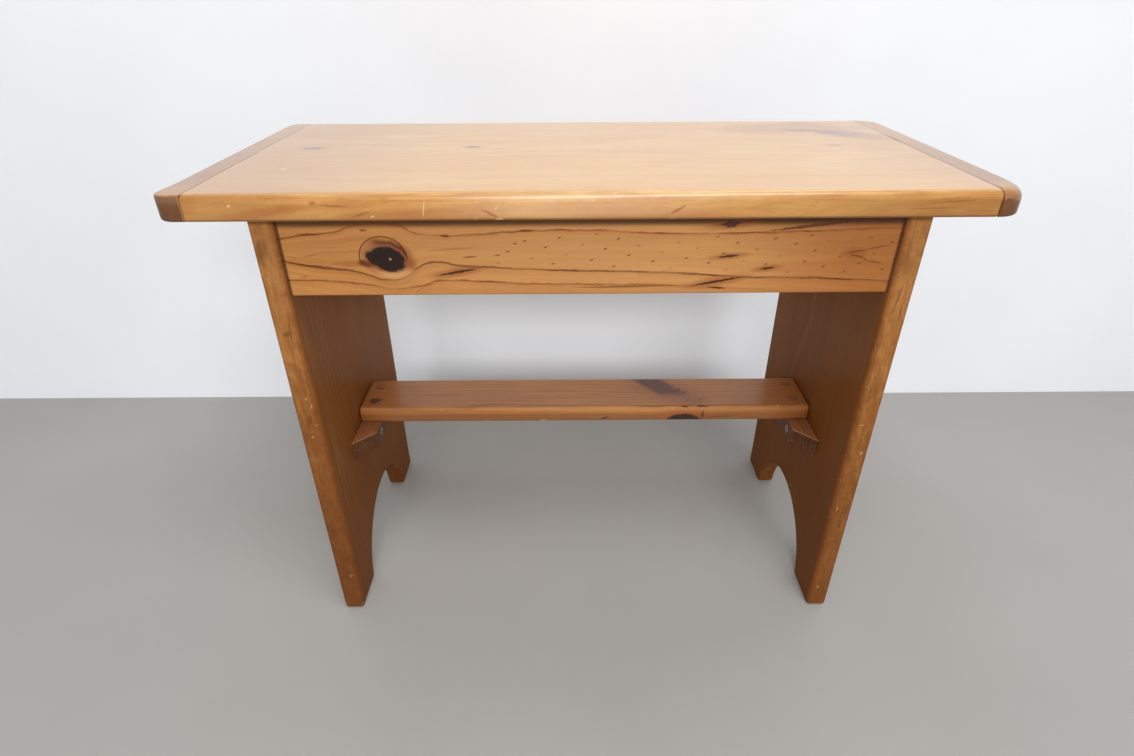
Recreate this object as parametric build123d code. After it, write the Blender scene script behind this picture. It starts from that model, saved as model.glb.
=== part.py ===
from build123d import *
import os

# Pine trestle bench: two upright legs with bootjack arches, a seat with breadboard ends,
# two aprons under the seat and a low stretcher that rests on a mitred cleat on each leg.
# Millimetres, +X along the seat, +Y to the back, +Z up, origin on the floor under the middle.

# Seat
seat_height = 433.0
seat_thickness = 19.0
seat_end_overhang = 56.0
seat_side_overhang = 16.0
seat_corner_radius = 16.0
seat_top_round = 5.0
seat_bottom_round = 2.0
end_cap_width = 22.0
tongue_length = 9.0
tongue_thickness = 6.0
tongue_stop = 28.0

# Legs
leg_spacing = 460.0
leg_thickness = 19.0
leg_depth = 245.0
leg_edge_round = 2.5
foot_width = 45.5
foot_corner_radius = 4.0
arch_height = 70.0

# Aprons
apron_height = 64.0
apron_thickness = 19.0
apron_setback = 2.5
apron_edge_round = 1.5

# Stretcher and the cleats that carry it
stretcher_top = 186.0
stretcher_thickness = 17.5
stretcher_depth = 58.5
stretcher_edge_round = 4.0
stretcher_end_gap = 1.0
cleat_length = 124.0
cleat_forward_shift = 3.0
cleat_width = 20.0
cleat_height = 19.0
cleat_bevel = 20.0
cleat_edge_round = 0.8

# Battens that hold the seat down, one inside the top of each leg
batten_width = 19.0
batten_height = 19.0
batten_end_gap = 0.5

# Dowels between the aprons and the legs
dowel_diameter = 8.0
dowel_in_leg = 11.0
dowel_in_apron = 25.0
dowel_edge_distance = 16.0
dowel_chamfer = 0.8
dowel_hole_spare = 0.6

# Countersunk wood screws
screw_head_diameter = 8.0
screw_head_rim = 0.4
screw_shank_diameter = 4.0
screw_tip_diameter = 1.2
screw_point_length = 5.0
recess_span = 4.6
recess_width = 1.1
recess_depth = 1.4

# Where the screws sit and how far they bite into the second board
cleat_screw_offset = 30.0
cleat_screw_bite = 12.0
batten_leg_screw_offset = 40.0
batten_leg_screw_bite = 12.0
batten_seat_screw_offset = 75.0
batten_seat_screw_bite = 11.0
stretcher_screw_offset = 14.0
stretcher_screw_edge = 7.0
stretcher_screw_bite = 13.0
plug_diameter = 9.5
plug_depth = 5.0

# Room around the tongues, dowels, plugs and screws
fit_clearance = 0.1

# Places that follow from the sizes above
leg_inner = leg_spacing / 2
leg_outer = leg_inner + leg_thickness
leg_front = leg_depth / 2
leg_height = seat_height - seat_thickness
seat_length = 2 * (leg_outer + seat_end_overhang)
seat_depth = leg_depth + 2 * seat_side_overhang
seat_middle = seat_height - seat_thickness / 2
cap_inner = seat_length / 2 - end_cap_width
apron_front = leg_front - apron_setback
apron_middle = apron_front - apron_thickness / 2
apron_bottom = leg_height - apron_height
stretcher_bottom = stretcher_top - stretcher_thickness
cleat_inner = leg_inner - cleat_width
cleat_middle = stretcher_bottom - cleat_height / 2
batten_length = 2 * (apron_front - apron_thickness - batten_end_gap)
batten_inner = leg_inner - batten_width
batten_bottom = leg_height - batten_height

os.makedirs("parts", exist_ok=True)


def write(name, *pieces):
    """Writes one node, which holds one solid or a group of separate ones."""
    solids = [solid for piece in pieces for solid in piece.solids()]
    export_step(solids[0] if len(solids) == 1 else Compound(solids), f"parts/{name}.step")


def block(low, high):
    """A box between two opposite corners."""
    size = [b - a for a, b in zip(low, high)]
    middle = [(a + b) / 2 for a, b in zip(low, high)]
    return Pos(*middle) * Box(*size)


def mirrored(piece):
    """The same piece on the left side of the bench."""
    return mirror(piece, about=Plane.YZ)


def both_sides(pieces):
    """Right-hand pieces followed by their left-hand twins."""
    return pieces + [mirrored(piece) for piece in pieces]


def turned(points):
    """A solid turned about Z from a half outline of (radius, height) points."""
    outline = Polyline(*[(radius, 0, height) for radius, height in points], close=True)
    return revolve(make_face(outline), axis=Axis.Z)


# Fasteners, made pointing down with the head's top at the origin


def screw_body(length, room=0.0):
    """Countersunk head, shank and point; room makes the hole that takes the screw."""
    head = screw_head_diameter / 2 + room
    shank = screw_shank_diameter / 2 + room
    tip = screw_tip_diameter / 2 + room
    neck = -screw_head_rim - (head - shank)
    return turned([
        (0, room),
        (head, room),
        (head, -screw_head_rim),
        (shank, neck),
        (shank, screw_point_length - length),
        (tip, -length - room),
        (0, -length - room),
    ])


def screw(length):
    """A wood screw with a cross recess in its head."""
    arm = Pos(0, 0, -recess_depth / 2) * Box(recess_span, recess_width, recess_depth)
    return screw_body(length) - (arm + Rot(0, 0, 90) * arm)


def screws_at(places, length):
    return [place * screw(length) for place in places]


def screw_holes_at(places, length):
    return [place * screw_body(length, fit_clearance) for place in places]


def dowel_body(room=0.0, spare=0.0):
    """A dowel along X that crosses the joint between an apron and a leg at the origin."""
    low, high = -dowel_in_apron - spare, dowel_in_leg + spare
    rod = Cylinder(dowel_diameter / 2 + room, high - low)
    return Pos((low + high) / 2, 0, 0) * Rot(0, 90, 0) * rod


def dowel():
    rod = dowel_body()
    ends = rod.edges().filter_by(GeomType.CIRCLE)
    return chamfer(ends, dowel_chamfer)


# Where the right-hand fasteners go; the left-hand ones are mirrored

points_right = Rot(0, -90, 0)
points_up = Rot(180, 0, 0)

cleat_screw_length = cleat_width + cleat_screw_bite
cleat_screw_places = [
    Pos(cleat_inner, side * cleat_screw_offset, cleat_middle) * points_right
    for side in (-1, 1)
]

batten_leg_screw_length = batten_width + batten_leg_screw_bite
batten_leg_screw_places = [
    Pos(batten_inner, side * batten_leg_screw_offset, batten_bottom + batten_height / 2) * points_right
    for side in (-1, 1)
]

batten_seat_screw_length = batten_height + batten_seat_screw_bite
batten_seat_screw_places = [
    Pos(leg_inner - batten_width / 2, side * batten_seat_screw_offset, batten_bottom) * points_up
    for side in (-1, 1)
]

stretcher_screw_length = stretcher_thickness - plug_depth + stretcher_screw_bite
plug_places = [
    Pos(cleat_inner + stretcher_screw_edge, side * stretcher_screw_offset, stretcher_top)
    for side in (-1, 1)
]
stretcher_screw_places = [place * Pos(0, 0, -plug_depth) for place in plug_places]

dowel_heights = [apron_bottom + dowel_edge_distance, leg_height - dowel_edge_distance]
front_dowel_places = [Pos(leg_inner, -apron_middle, height) for height in dowel_heights]
rear_dowel_places = [Pos(leg_inner, apron_middle, height) for height in dowel_heights]
dowel_places = front_dowel_places + rear_dowel_places

# Seat: one rounded blank, cut into the board and its two end caps

seat_blank = extrude(RectangleRounded(seat_length, seat_depth, seat_corner_radius), seat_thickness)
seat_blank = Pos(0, 0, leg_height) * seat_blank
seat_blank = fillet(seat_blank.edges().group_by(Axis.Z)[-1], seat_top_round)
seat_blank = fillet(seat_blank.edges().group_by(Axis.Z)[0], seat_bottom_round)


def tongue(room=0.0):
    """The stopped tongue on the board's right end; room makes the groove in the cap."""
    width = seat_depth - 2 * tongue_stop + 2 * room
    height = tongue_thickness + 2 * room
    length = tongue_length + room
    return Pos(cap_inner + length / 2, 0, seat_middle) * Box(length, width, height)


reach = seat_length
middle_slab = block((-cap_inner, -reach, 0), (cap_inner, reach, reach))
right_slab = block((cap_inner, -reach, 0), (reach, reach, reach))
right_tongue = tongue()

seat_board = (seat_blank & middle_slab) + right_tongue + mirrored(right_tongue)
for hole in both_sides(screw_holes_at(batten_seat_screw_places, batten_seat_screw_length)):
    seat_board = seat_board - hole
right_end_cap = (seat_blank & right_slab) - tongue(fit_clearance)

# Legs: an upright board with a round arch cut into its foot

arch_width = leg_depth - 2 * foot_width
arch_radius = (arch_width**2 / 4 + arch_height**2) / (2 * arch_height)


def make_leg():
    bottom_edge = (Align.CENTER, Align.MIN)
    outline = Rectangle(leg_depth, leg_height, align=bottom_edge)
    outline -= Pos(0, arch_height - arch_radius) * Circle(arch_radius)
    outline = fillet(outline.vertices().group_by(Axis.Y)[0], foot_corner_radius)
    leg = Pos(leg_inner, 0, 0) * extrude(Plane.YZ * outline, leg_thickness)
    rims = leg.edges().group_by(Axis.X)
    rim_edges = [edge for edge in rims[0] + rims[-1] if edge.center().Z < leg_height - leg_edge_round]
    leg = fillet(rim_edges, leg_edge_round)
    holes = screw_holes_at(cleat_screw_places, cleat_screw_length)
    holes += screw_holes_at(batten_leg_screw_places, batten_leg_screw_length)
    holes += [place * dowel_body(fit_clearance, dowel_hole_spare) for place in dowel_places]
    for hole in holes:
        leg = leg - hole
    return leg


right_leg = make_leg()

# Aprons between the legs, under the seat


def make_apron():
    low = (-leg_inner, -apron_front, apron_bottom)
    high = (leg_inner, -apron_front + apron_thickness, leg_height)
    apron = block(low, high)
    bottom_edges = apron.edges().filter_by(Axis.X).group_by(Axis.Z)[0]
    apron = fillet(bottom_edges, apron_edge_round)
    holes = [place * dowel_body(fit_clearance, dowel_hole_spare) for place in front_dowel_places]
    for hole in both_sides(holes):
        apron = apron - hole
    return apron


front_apron = make_apron()
rear_apron = mirror(front_apron, about=Plane.XZ)

# Stretcher, screwed down to the cleats through plugged holes


def make_stretcher():
    end = leg_inner - stretcher_end_gap
    low = (-end, -stretcher_depth / 2, stretcher_bottom)
    high = (end, stretcher_depth / 2, stretcher_top)
    board = block(low, high)
    board = fillet(board.edges().filter_by(Axis.X), stretcher_edge_round)
    holes = screw_holes_at(stretcher_screw_places, stretcher_screw_length)
    holes += [place * make_plug(fit_clearance) for place in plug_places]
    for hole in both_sides(holes):
        board = board - hole
    return board


def make_plug(room=0.0):
    """A round plug whose top is at the origin; room makes the hole that it fills."""
    height = plug_depth + room
    return Pos(0, 0, room - height / 2) * Cylinder(plug_diameter / 2 + room, height)


stretcher = make_stretcher()

# Cleats under the ends of the stretcher, longest against the leg


def make_cleat():
    front = -cleat_length / 2 - cleat_forward_shift
    rear = cleat_length / 2 - cleat_forward_shift
    outline = Polyline(
        (leg_inner, front),
        (leg_inner, rear),
        (cleat_inner, rear - cleat_bevel),
        (cleat_inner, front + cleat_bevel),
        close=True,
    )
    cleat = Pos(0, 0, stretcher_bottom - cleat_height) * extrude(make_face(outline), cleat_height)
    free_edges = [edge for edge in cleat.edges().filter_by(Axis.Y) if edge.center().X < leg_inner - 1]
    cleat = fillet(free_edges, cleat_edge_round)
    holes = screw_holes_at(cleat_screw_places, cleat_screw_length)
    holes += screw_holes_at(stretcher_screw_places, stretcher_screw_length)
    for hole in holes:
        cleat = cleat - hole
    return cleat


right_cleat = make_cleat()

# Battens inside the tops of the legs


def make_batten():
    half = batten_length / 2
    batten = block((batten_inner, -half, batten_bottom), (leg_inner, half, leg_height))
    holes = screw_holes_at(batten_leg_screw_places, batten_leg_screw_length)
    holes += screw_holes_at(batten_seat_screw_places, batten_seat_screw_length)
    for hole in holes:
        batten = batten - hole
    return batten


right_batten = make_batten()

# Every node

write("seat_board", seat_board)
write("right_end_cap", right_end_cap)
write("left_end_cap", mirrored(right_end_cap))
write("right_leg", right_leg)
write("left_leg", mirrored(right_leg))
write("front_apron", front_apron)
write("rear_apron", rear_apron)
write("stretcher", stretcher)
write("right_stretcher_cleat", right_cleat)
write("left_stretcher_cleat", mirrored(right_cleat))
write("right_seat_batten", right_batten)
write("left_seat_batten", mirrored(right_batten))
write("apron_dowels", *both_sides([place * dowel() for place in dowel_places]))
write("cleat_screws", *both_sides(screws_at(cleat_screw_places, cleat_screw_length)))
write("batten_leg_screws", *both_sides(screws_at(batten_leg_screw_places, batten_leg_screw_length)))
write("batten_seat_screws", *both_sides(screws_at(batten_seat_screw_places, batten_seat_screw_length)))
write("stretcher_screws", *both_sides(screws_at(stretcher_screw_places, stretcher_screw_length)))
write("stretcher_plugs", *both_sides([place * make_plug() for place in plug_places]))
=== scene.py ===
import bmesh
import bpy
import numpy as np
from mathutils import Matrix, Vector


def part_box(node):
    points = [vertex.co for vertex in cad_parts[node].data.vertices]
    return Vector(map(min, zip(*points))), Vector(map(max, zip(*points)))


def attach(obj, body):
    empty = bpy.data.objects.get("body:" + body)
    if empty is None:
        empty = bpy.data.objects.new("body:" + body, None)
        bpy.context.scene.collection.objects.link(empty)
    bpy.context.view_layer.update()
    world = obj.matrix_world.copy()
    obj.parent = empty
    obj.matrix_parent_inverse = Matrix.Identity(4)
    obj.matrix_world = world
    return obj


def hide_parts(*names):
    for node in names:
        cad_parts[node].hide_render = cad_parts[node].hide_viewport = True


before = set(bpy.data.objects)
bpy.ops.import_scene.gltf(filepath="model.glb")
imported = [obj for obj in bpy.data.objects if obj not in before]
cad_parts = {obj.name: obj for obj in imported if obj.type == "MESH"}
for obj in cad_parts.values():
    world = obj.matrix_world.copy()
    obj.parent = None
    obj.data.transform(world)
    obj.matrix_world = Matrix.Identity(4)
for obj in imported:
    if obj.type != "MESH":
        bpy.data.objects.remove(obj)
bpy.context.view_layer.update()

# Pine trestle bench: the lacquered boards that are seen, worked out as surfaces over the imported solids.
# Sizes are in millimetres here and go into the meshes in metres; lamps and camera are placed in metres.

MM = 0.001


def node_box(node):
    """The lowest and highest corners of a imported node, in millimetres."""
    return np.round(np.array(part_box(node)) / MM, 3).tolist()


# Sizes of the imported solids
(_, _, seat_bottom), (_, seat_half_depth, seat_top) = node_box("seat_board")
(cap_joint, _, _), (seat_half_length, _, _) = node_box("right_end_cap")
(leg_inner, _, _), (leg_outer, leg_front, _) = node_box("right_leg")
(_, apron_back, apron_bottom), (_, apron_front, _) = node_box("rear_apron")
(_, _, stretcher_bottom), (stretcher_end, stretcher_half_depth, stretcher_top) = node_box("stretcher")
(cleat_inner, cleat_front, cleat_bottom), (_, cleat_rear, _) = node_box("right_stretcher_cleat")
(batten_inner, _, batten_bottom), (_, batten_half_length, _) = node_box("right_seat_batten")
apron_height = seat_bottom - apron_bottom

# Sizes within those boxes
foot_corner = 4.0
arch_top = 70.0
arch_half_width = 77.0
cleat_bevel = 20.0
plug_radius = 4.75
plug_depth = 4.9
plug_crown = 0.22
plug_fall = 0.3
plug_x = 217.0
plug_y = 14.0

# Roundings. A hidden edge lies against another board, and the joint is the seat's with its caps. The seat's
# own four belong to its lower rear, upper rear, upper front and lower front edges.
hidden_round = 0.3
joint_round = 0.35
seat_rounds = (2, 6, 5, 2)
sat_on_rounds = (2, 6, 10, 2)
cap_bottom_round = 2.0
leg_rim_round = 3.0
leg_edge_extra = 2.0
apron_round = 1.5
stretcher_round = 4.0
cleat_round = 0.9
batten_round = 0.8

# How finely surfaces are divided: steps along edges, points on quarter circles and other arcs
guard_distance = 0.8
board_step = 6.0
fine_step = 4.0
section_points = 8
end_points = 5
rim_points = 7
side_points = 5
foot_points = 6
arch_points = 60
cap_points = 12
plug_rings = 7
plug_sides = 32


# Shapes

def quarter_turn(count):
    """The angles of a quarter circle, evenly spaced, both ends among them."""
    return np.linspace(0, np.pi / 2, count)


def side_steps(length, span, step):
    """Fractions along a straight side: its ends, a guard line just inside each end, even steps between. The
    span that the steps are counted on may be longer than the side."""
    guard = min(guard_distance, length / 4)
    between = np.linspace(guard, length - guard, max(2, int(span / step) + 1))
    return np.concatenate([[0.0], between, [length]]) / length


def corner_share(turn):
    """How far along a quarter circle a point stands from its two ends: 0 at both, 1 in the middle."""
    return np.sqrt(np.clip(np.sin(2 * turn), 0, 1))


def rounded_outline(low, high, radii, step):
    """A rectangle with four rounded corners: its points, outward normals and share of corner.

    Each corner is a quarter circle, centre + radius * (cos, sin); each side runs straight from the
    end of one quarter circle to the start of the next. The radii go round from the corner that is
    highest in the first direction and lowest in the second."""
    (a0, b0), (a1, b1) = low, high
    signs = np.array([(1, -1), (1, 1), (-1, 1), (-1, -1)])
    far = np.array([(a1, b0), (a1, b1), (a0, b1), (a0, b0)])
    radii = np.array(radii)
    centres = far - signs * radii[:, None]
    turn = quarter_turn(section_points)
    points, normals, corner = [], [], []
    for k in range(4):
        angle = turn + (k - 1) * np.pi / 2
        round_normal = np.stack([np.cos(angle), np.sin(angle)], -1)
        bend = centres[k] + radii[k] * round_normal
        after = (k + 1) % 4
        last = round_normal[-1]
        target = centres[after] + radii[after] * last
        span = (b1 - b0, a1 - a0)[k % 2]
        share = side_steps(np.linalg.norm(target - bend[-1]), span, step)[1:-1, None]
        points += [bend, bend[-1] + share * (target - bend[-1])]
        normals += [round_normal, np.repeat(last[None], len(share), 0)]
        corner += [corner_share(turn), np.zeros(len(share))]
    return np.concatenate(points), np.concatenate(normals), np.concatenate(corner)


def uneven(points, seed, shortest=70.0, waves=8):
    """Hand-worked unevenness from 0 to 1: the mean of some sine waves in different directions, with
    wavelengths from the shortest to four times that."""
    rng = np.random.default_rng(seed)
    direction = rng.normal(size=(waves, 3))
    direction /= np.linalg.norm(direction, axis=1)[:, None]
    pace = 2 * np.pi / (shortest * rng.uniform(1, 4, waves))
    phase = rng.uniform(0, 2 * np.pi, waves)
    return 0.5 + 0.5 * np.sin(points @ (direction * pace[:, None]).T + phase).mean(-1)


def in_order(grid, order):
    """Turns a grid of (along, across, through) places into (x, y, z); order names their axes."""
    return grid[..., [order.index(axis) for axis in "XYZ"]]


def carried_board(outline, start, stop, end_round, step, order, seed, depth, wear=None):
    """Carries a closed outline along a straight line.

    Place = outline - (inset + depth * unevenness) * normal. The inset follows a quarter circle at both
    ends, so the end edges are rounded over. Wear is a second outline, a centre and a reach: a bell curve
    about the centre draws the first outline's points over to the second's."""
    points, normals, corner = outline
    turn = quarter_turn(end_points)
    entry = end_round * (1 - np.cos(turn))
    inset = end_round * (1 - np.sin(turn))
    middle = np.linspace(start + end_round, stop - end_round, int((stop - start) / step) + 2)[1:-1]
    along = np.concatenate([start + entry, middle, stop - entry[::-1]])
    flat = np.zeros(len(middle))
    inset = np.concatenate([inset, flat, inset[::-1]])
    end_share = np.concatenate([corner_share(turn), flat, corner_share(turn)])
    section = np.repeat(points[None], len(along), 0)
    if wear:
        worn, centre, reach = wear
        section += np.exp(-(((along - centre) / reach) ** 2))[:, None, None] * (worn[0] - points)
    grid = np.concatenate([np.broadcast_to(along[:, None, None], section.shape[:2] + (1,)), section], -1)
    inward = inset[:, None] + depth * uneven(grid, seed)
    grid[..., 1:] -= inward[..., None] * normals
    return in_order(grid, order), np.maximum(corner, end_share[:, None])


def rimmed_slab(path, normals, inward, low, high, low_round, high_round, chord_round, ruled, seed, depth):
    """A flat board between two levels, whose rim follows a path and whose remaining side is the straight
    chord between the path's ends.

    Over each path point the surface runs from the chord along a ruled line to the rim, over a quarter
    circle, down the rim, over a second quarter circle and back along a ruled line to the chord. Both
    faces are drawn in by depth * unevenness."""
    count = len(path)
    turn = quarter_turn(rim_points)
    high_round = np.broadcast_to(high_round, count)[:, None]
    low_round = np.broadcast_to(low_round, count)[:, None]
    side = np.linspace(0, 1, side_points)[1:-1]
    upper, lower = high - high_round, low + low_round
    inset = np.concatenate([high_round * (1 - np.sin(turn)), np.zeros((count, len(side))),
                            low_round * (1 - np.cos(turn))], 1)
    level = np.concatenate([high - high_round * (1 - np.cos(turn)), upper + side * (lower - upper),
                            low + low_round * (1 - np.sin(turn))], 1)
    rim = path[:, None] - inset[..., None] * normals[:, None]
    length = np.concatenate([[0], np.cumsum(np.linalg.norm(np.diff(path, axis=0), axis=1))])
    share = (length / length[-1])[:, None]
    chord_high = rim[0, 0] + share * (rim[-1, 0] - rim[0, 0])
    chord_low = rim[0, -1] + share * (rim[-1, -1] - rim[0, -1])
    out = np.linspace(0, 1, ruled)[:-1, None]
    face_high = chord_high[:, None] + out * (rim[:, :1] - chord_high[:, None])
    face_low = chord_low[:, None] + out[::-1] * (rim[:, -1:] - chord_low[:, None])
    back = chord_round * np.array(inward)
    plan = np.concatenate([(chord_high - back)[:, None], face_high, rim, face_low,
                           (chord_low - back)[:, None]], 1)
    ones = np.ones((count, 1))
    flat = np.ones((count, ruled - 1))
    level = np.concatenate([ones * (high - chord_round), flat * high, level, flat * low,
                            ones * (low + chord_round)], 1)
    grid = np.concatenate([plan, level[..., None]], -1)
    dip = depth * uneven(grid, seed)
    middle_level = (low + high) / 2
    grid[..., 2] += np.where(level > middle_level, -dip, dip) * (np.abs(level - middle_level) > 1)
    bend, face, chord = corner_share(turn), np.zeros(ruled - 1), [0.5]
    edge = np.concatenate([chord, face, bend, np.zeros(len(side)), bend, face, chord])
    return grid, np.broadcast_to(edge, grid.shape[:2])


def make_piece(node, grids, edges, material):
    """Joins grids into the one mesh that stands for a node. Each grid closes on itself across its columns,
    and one more face closes each of its two ends. How worn each point is goes into the edge attribute."""
    same_place, no_length, sharp_angle = 2e-6, 1e-6, np.radians(38)
    faces, first = [], 0
    for grid in grids:
        rows, columns = grid.shape[:2]
        corner = first + np.arange(rows * columns).reshape(rows, columns)
        following = np.roll(corner, -1, 1)
        quads = np.stack([corner[:-1], corner[1:], following[1:], following[:-1]], -1)
        faces += quads.reshape(-1, 4).tolist() + [corner[0].tolist(), corner[-1, ::-1].tolist()]
        first += rows * columns
    mesh = bpy.data.meshes.new(node + "_seen")
    places = np.concatenate([grid.reshape(-1, 3) for grid in grids])
    mesh.from_pydata((places * MM).tolist(), [], faces)
    worn = mesh.attributes.new("edge", "FLOAT", "POINT")
    worn.data.foreach_set("value", np.concatenate([np.ravel(edge) for edge in edges]).astype(np.float32))
    shell = bmesh.new()
    shell.from_mesh(mesh)
    bmesh.ops.remove_doubles(shell, verts=shell.verts, dist=same_place)
    bmesh.ops.dissolve_degenerate(shell, dist=no_length, edges=shell.edges)
    bmesh.ops.recalc_face_normals(shell, faces=shell.faces)
    shell.to_mesh(mesh)
    shell.free()
    mesh.shade_smooth()
    mesh.set_sharp_from_angle(angle=sharp_angle)
    mesh.materials.append(material)
    piece = bpy.data.objects.new(node + "_seen", mesh)
    bpy.context.collection.objects.link(piece)
    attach(piece, "root")
    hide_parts(node)


def line(start, stop, step, normal):
    """Points from start up to, not including, stop, with one normal."""
    start, stop = np.array(start, float), np.array(stop, float)
    length = np.linalg.norm(stop - start)
    share = side_steps(length, length, step)[:-1, None]
    return start + share * (stop - start), np.repeat([normal], len(share), 0)


def arc(centre, radius, start, stop, count, outward=1):
    """Points on a circle between two angles in degrees, without the last; normals point off the board."""
    angle = np.radians(np.linspace(start, stop, count + 1)[:-1])
    ray = np.stack([np.cos(angle), np.sin(angle)], -1)
    return np.array(centre) + radius * ray, outward * ray


def joined_path(parts):
    """One path, its points and its normals, from parts that follow each other."""
    points, normals = zip(*parts)
    return np.concatenate(points), np.concatenate(normals)


def leg_path():
    """The leg's edge in (y, z): down the front, round the foot, over the arch and up the back."""
    radius = (arch_half_width**2 + arch_top**2) / (2 * arch_top)
    centre_z = arch_top - radius
    r = foot_corner
    bend_y = np.sqrt((radius + r) ** 2 - (r - centre_z) ** 2)
    lean = np.degrees(np.arctan2(r - centre_z, bend_y))
    top = seat_bottom - hidden_round
    return joined_path([
        line((-leg_front, top), (-leg_front, r), board_step, (-1, 0)),
        arc((r - leg_front, r), r, 180, 270, foot_points),
        line((r - leg_front, 0), (-bend_y, 0), board_step, (0, -1)),
        arc((-bend_y, r), r, 270, 360 - lean, foot_points),
        arc((0, centre_z), radius, 180 - lean, lean, arch_points, -1),
        arc((bend_y, r), r, 180 + lean, 270, foot_points),
        line((bend_y, 0), (leg_front - r, 0), board_step, (0, -1)),
        arc((leg_front - r, r), r, 270, 360, foot_points),
        line((leg_front, r), (leg_front, top), board_step, (1, 0)),
        (np.array([(leg_front, top)]), np.array([(1, 0)])),
    ])


def cap_path(front_round, rear_round):
    """The end cap's edge in (x, y): out along the front, round two corners and back along the rear."""
    x, y = seat_half_length, seat_half_depth
    joint = cap_joint + joint_round
    return joined_path([
        line((joint, -y), (x - front_round, -y), fine_step, (0, -1)),
        arc((x - front_round, front_round - y), front_round, 270, 360, cap_points),
        line((x, front_round - y), (x, y - rear_round), board_step, (1, 0)),
        arc((x - rear_round, y - rear_round), rear_round, 0, 90, cap_points),
        line((x - rear_round, y), (joint, y), fine_step, (0, 1)),
        (np.array([(joint, y)]), np.array([(0, 1)])),
    ])


def make_board(node, outline, reach, end_round, order, depth, seed, material, wear=None):
    """A straight board: a rounded outline carried along its reach."""
    grid, edge = carried_board(outline, *reach, end_round, board_step, order, seed, depth, wear)
    make_piece(node, [grid], [edge], material)


def make_leg(node, side, material, seed):
    """A leg: a slab in (y, z) whose rim is the leg's path and whose chord is its top, stood at its side. Its
    inner rim is rounded more along the front and rear edges, by a smooth step in the distance from the
    middle, than round the arch, and the difference fades out towards the foot."""
    edge_start, edge_blur, foot_fade = 112, 3, 15
    path, normals = leg_path()
    off_foot = 1 - np.exp(-path[:, 1] / foot_fade)
    upright = off_foot / (1 + np.exp((edge_start - np.abs(path[:, 0])) / edge_blur))
    grid, edge = rimmed_slab(path, normals, inward=(0, -1), low=leg_inner, high=leg_outer,
                             low_round=leg_rim_round + leg_edge_extra * upright, high_round=leg_rim_round,
                             chord_round=hidden_round, ruled=20, seed=seed, depth=0.15)
    grid = np.stack([side * grid[..., 2], grid[..., 0], grid[..., 1]], -1)
    make_piece(node, [grid], [edge], material)


def make_cap(node, side, corner_rounds, top_rounds, gaps, material, seed):
    """An end cap: a slab in (x, y) whose rim is the cap's path and whose chord lies along the joint. Its top
    rounding goes over, by a smooth step near the front end, from the first radius given to the second. The
    gaps list places along the joint (y, width, reach) where it stands open: the cap's edge draws back
    there by a bell curve."""
    front_start, front_blur = 118, 5
    path, normals = cap_path(*corner_rounds)
    near_front = 1 / (1 + np.exp((path[:, 1] + front_start) / front_blur))
    top_round = top_rounds[0] + (top_rounds[1] - top_rounds[0]) * near_front
    grid, edge = rimmed_slab(path, normals, inward=(1, 0), low=seat_bottom, high=seat_top,
                             low_round=cap_bottom_round, high_round=top_round, chord_round=joint_round,
                             ruled=10, seed=seed, depth=0.12)
    for y, width, reach in gaps:
        opened = width * np.exp(-(((grid[..., 1] - y) / reach) ** 2))
        grid[..., 0] += opened * (seat_half_length - grid[..., 0]) / (seat_half_length - cap_joint)
    grid[..., 0] *= side
    make_piece(node, [grid], [edge], material)


def make_cleat(node, side, material, seed):
    """A block under the stretcher's end: a rounded section whose two ends are sheared to a bevel, so
    y runs from the bevelled front to the bevelled rear at each x."""
    outline = rounded_outline((cleat_inner, cleat_bottom), (leg_inner, stretcher_bottom),
                              (hidden_round, hidden_round, cleat_round, cleat_round), fine_step)
    grid, edge = carried_board(outline, start=0, stop=1, end_round=0.0, step=0.04, order="YXZ", seed=seed,
                               depth=0.1)
    shear = cleat_bevel * (leg_inner - grid[..., 0]) / (leg_inner - cleat_inner)
    front, rear = cleat_front + shear, cleat_rear - shear
    grid[..., 1] = front + grid[..., 1] * (rear - front)
    grid[..., 0] *= side
    make_piece(node, [grid], [edge], material)


def make_plugs(material):
    """Four low domes over straight shanks: a dome's height falls with the square of the distance from its
    middle, to just below the board at the rim."""
    share = np.linspace(1, 0, plug_rings)
    angle = np.linspace(0, 2 * np.pi, plug_sides + 1)[:-1]
    radius = plug_radius * np.concatenate([[0.0, 1.0], share])[:, None]
    height = np.concatenate([[-plug_depth, -plug_depth], plug_crown - plug_fall * share**2])[:, None]
    dome = np.stack([radius * np.cos(angle), radius * np.sin(angle), height + 0 * angle], -1)
    centres = [(side * plug_x, end * plug_y, stretcher_top) for side in (-1, 1) for end in (-1, 1)]
    make_piece("stretcher_plugs", [dome + np.array(centre) for centre in centres],
               [np.zeros(dome.shape[:2])] * len(centres), material)


# Finishes

def tone(red, green, blue):
    """A colour given as it looks on screen, 0 to 255, as the light-linear colour that nodes use."""
    level = np.array([red, green, blue]) / 255
    linear = np.where(level <= 0.04045, level / 12.92, ((level + 0.055) / 1.055) ** 2.4)
    return (*linear.tolist(), 1.0)


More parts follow.
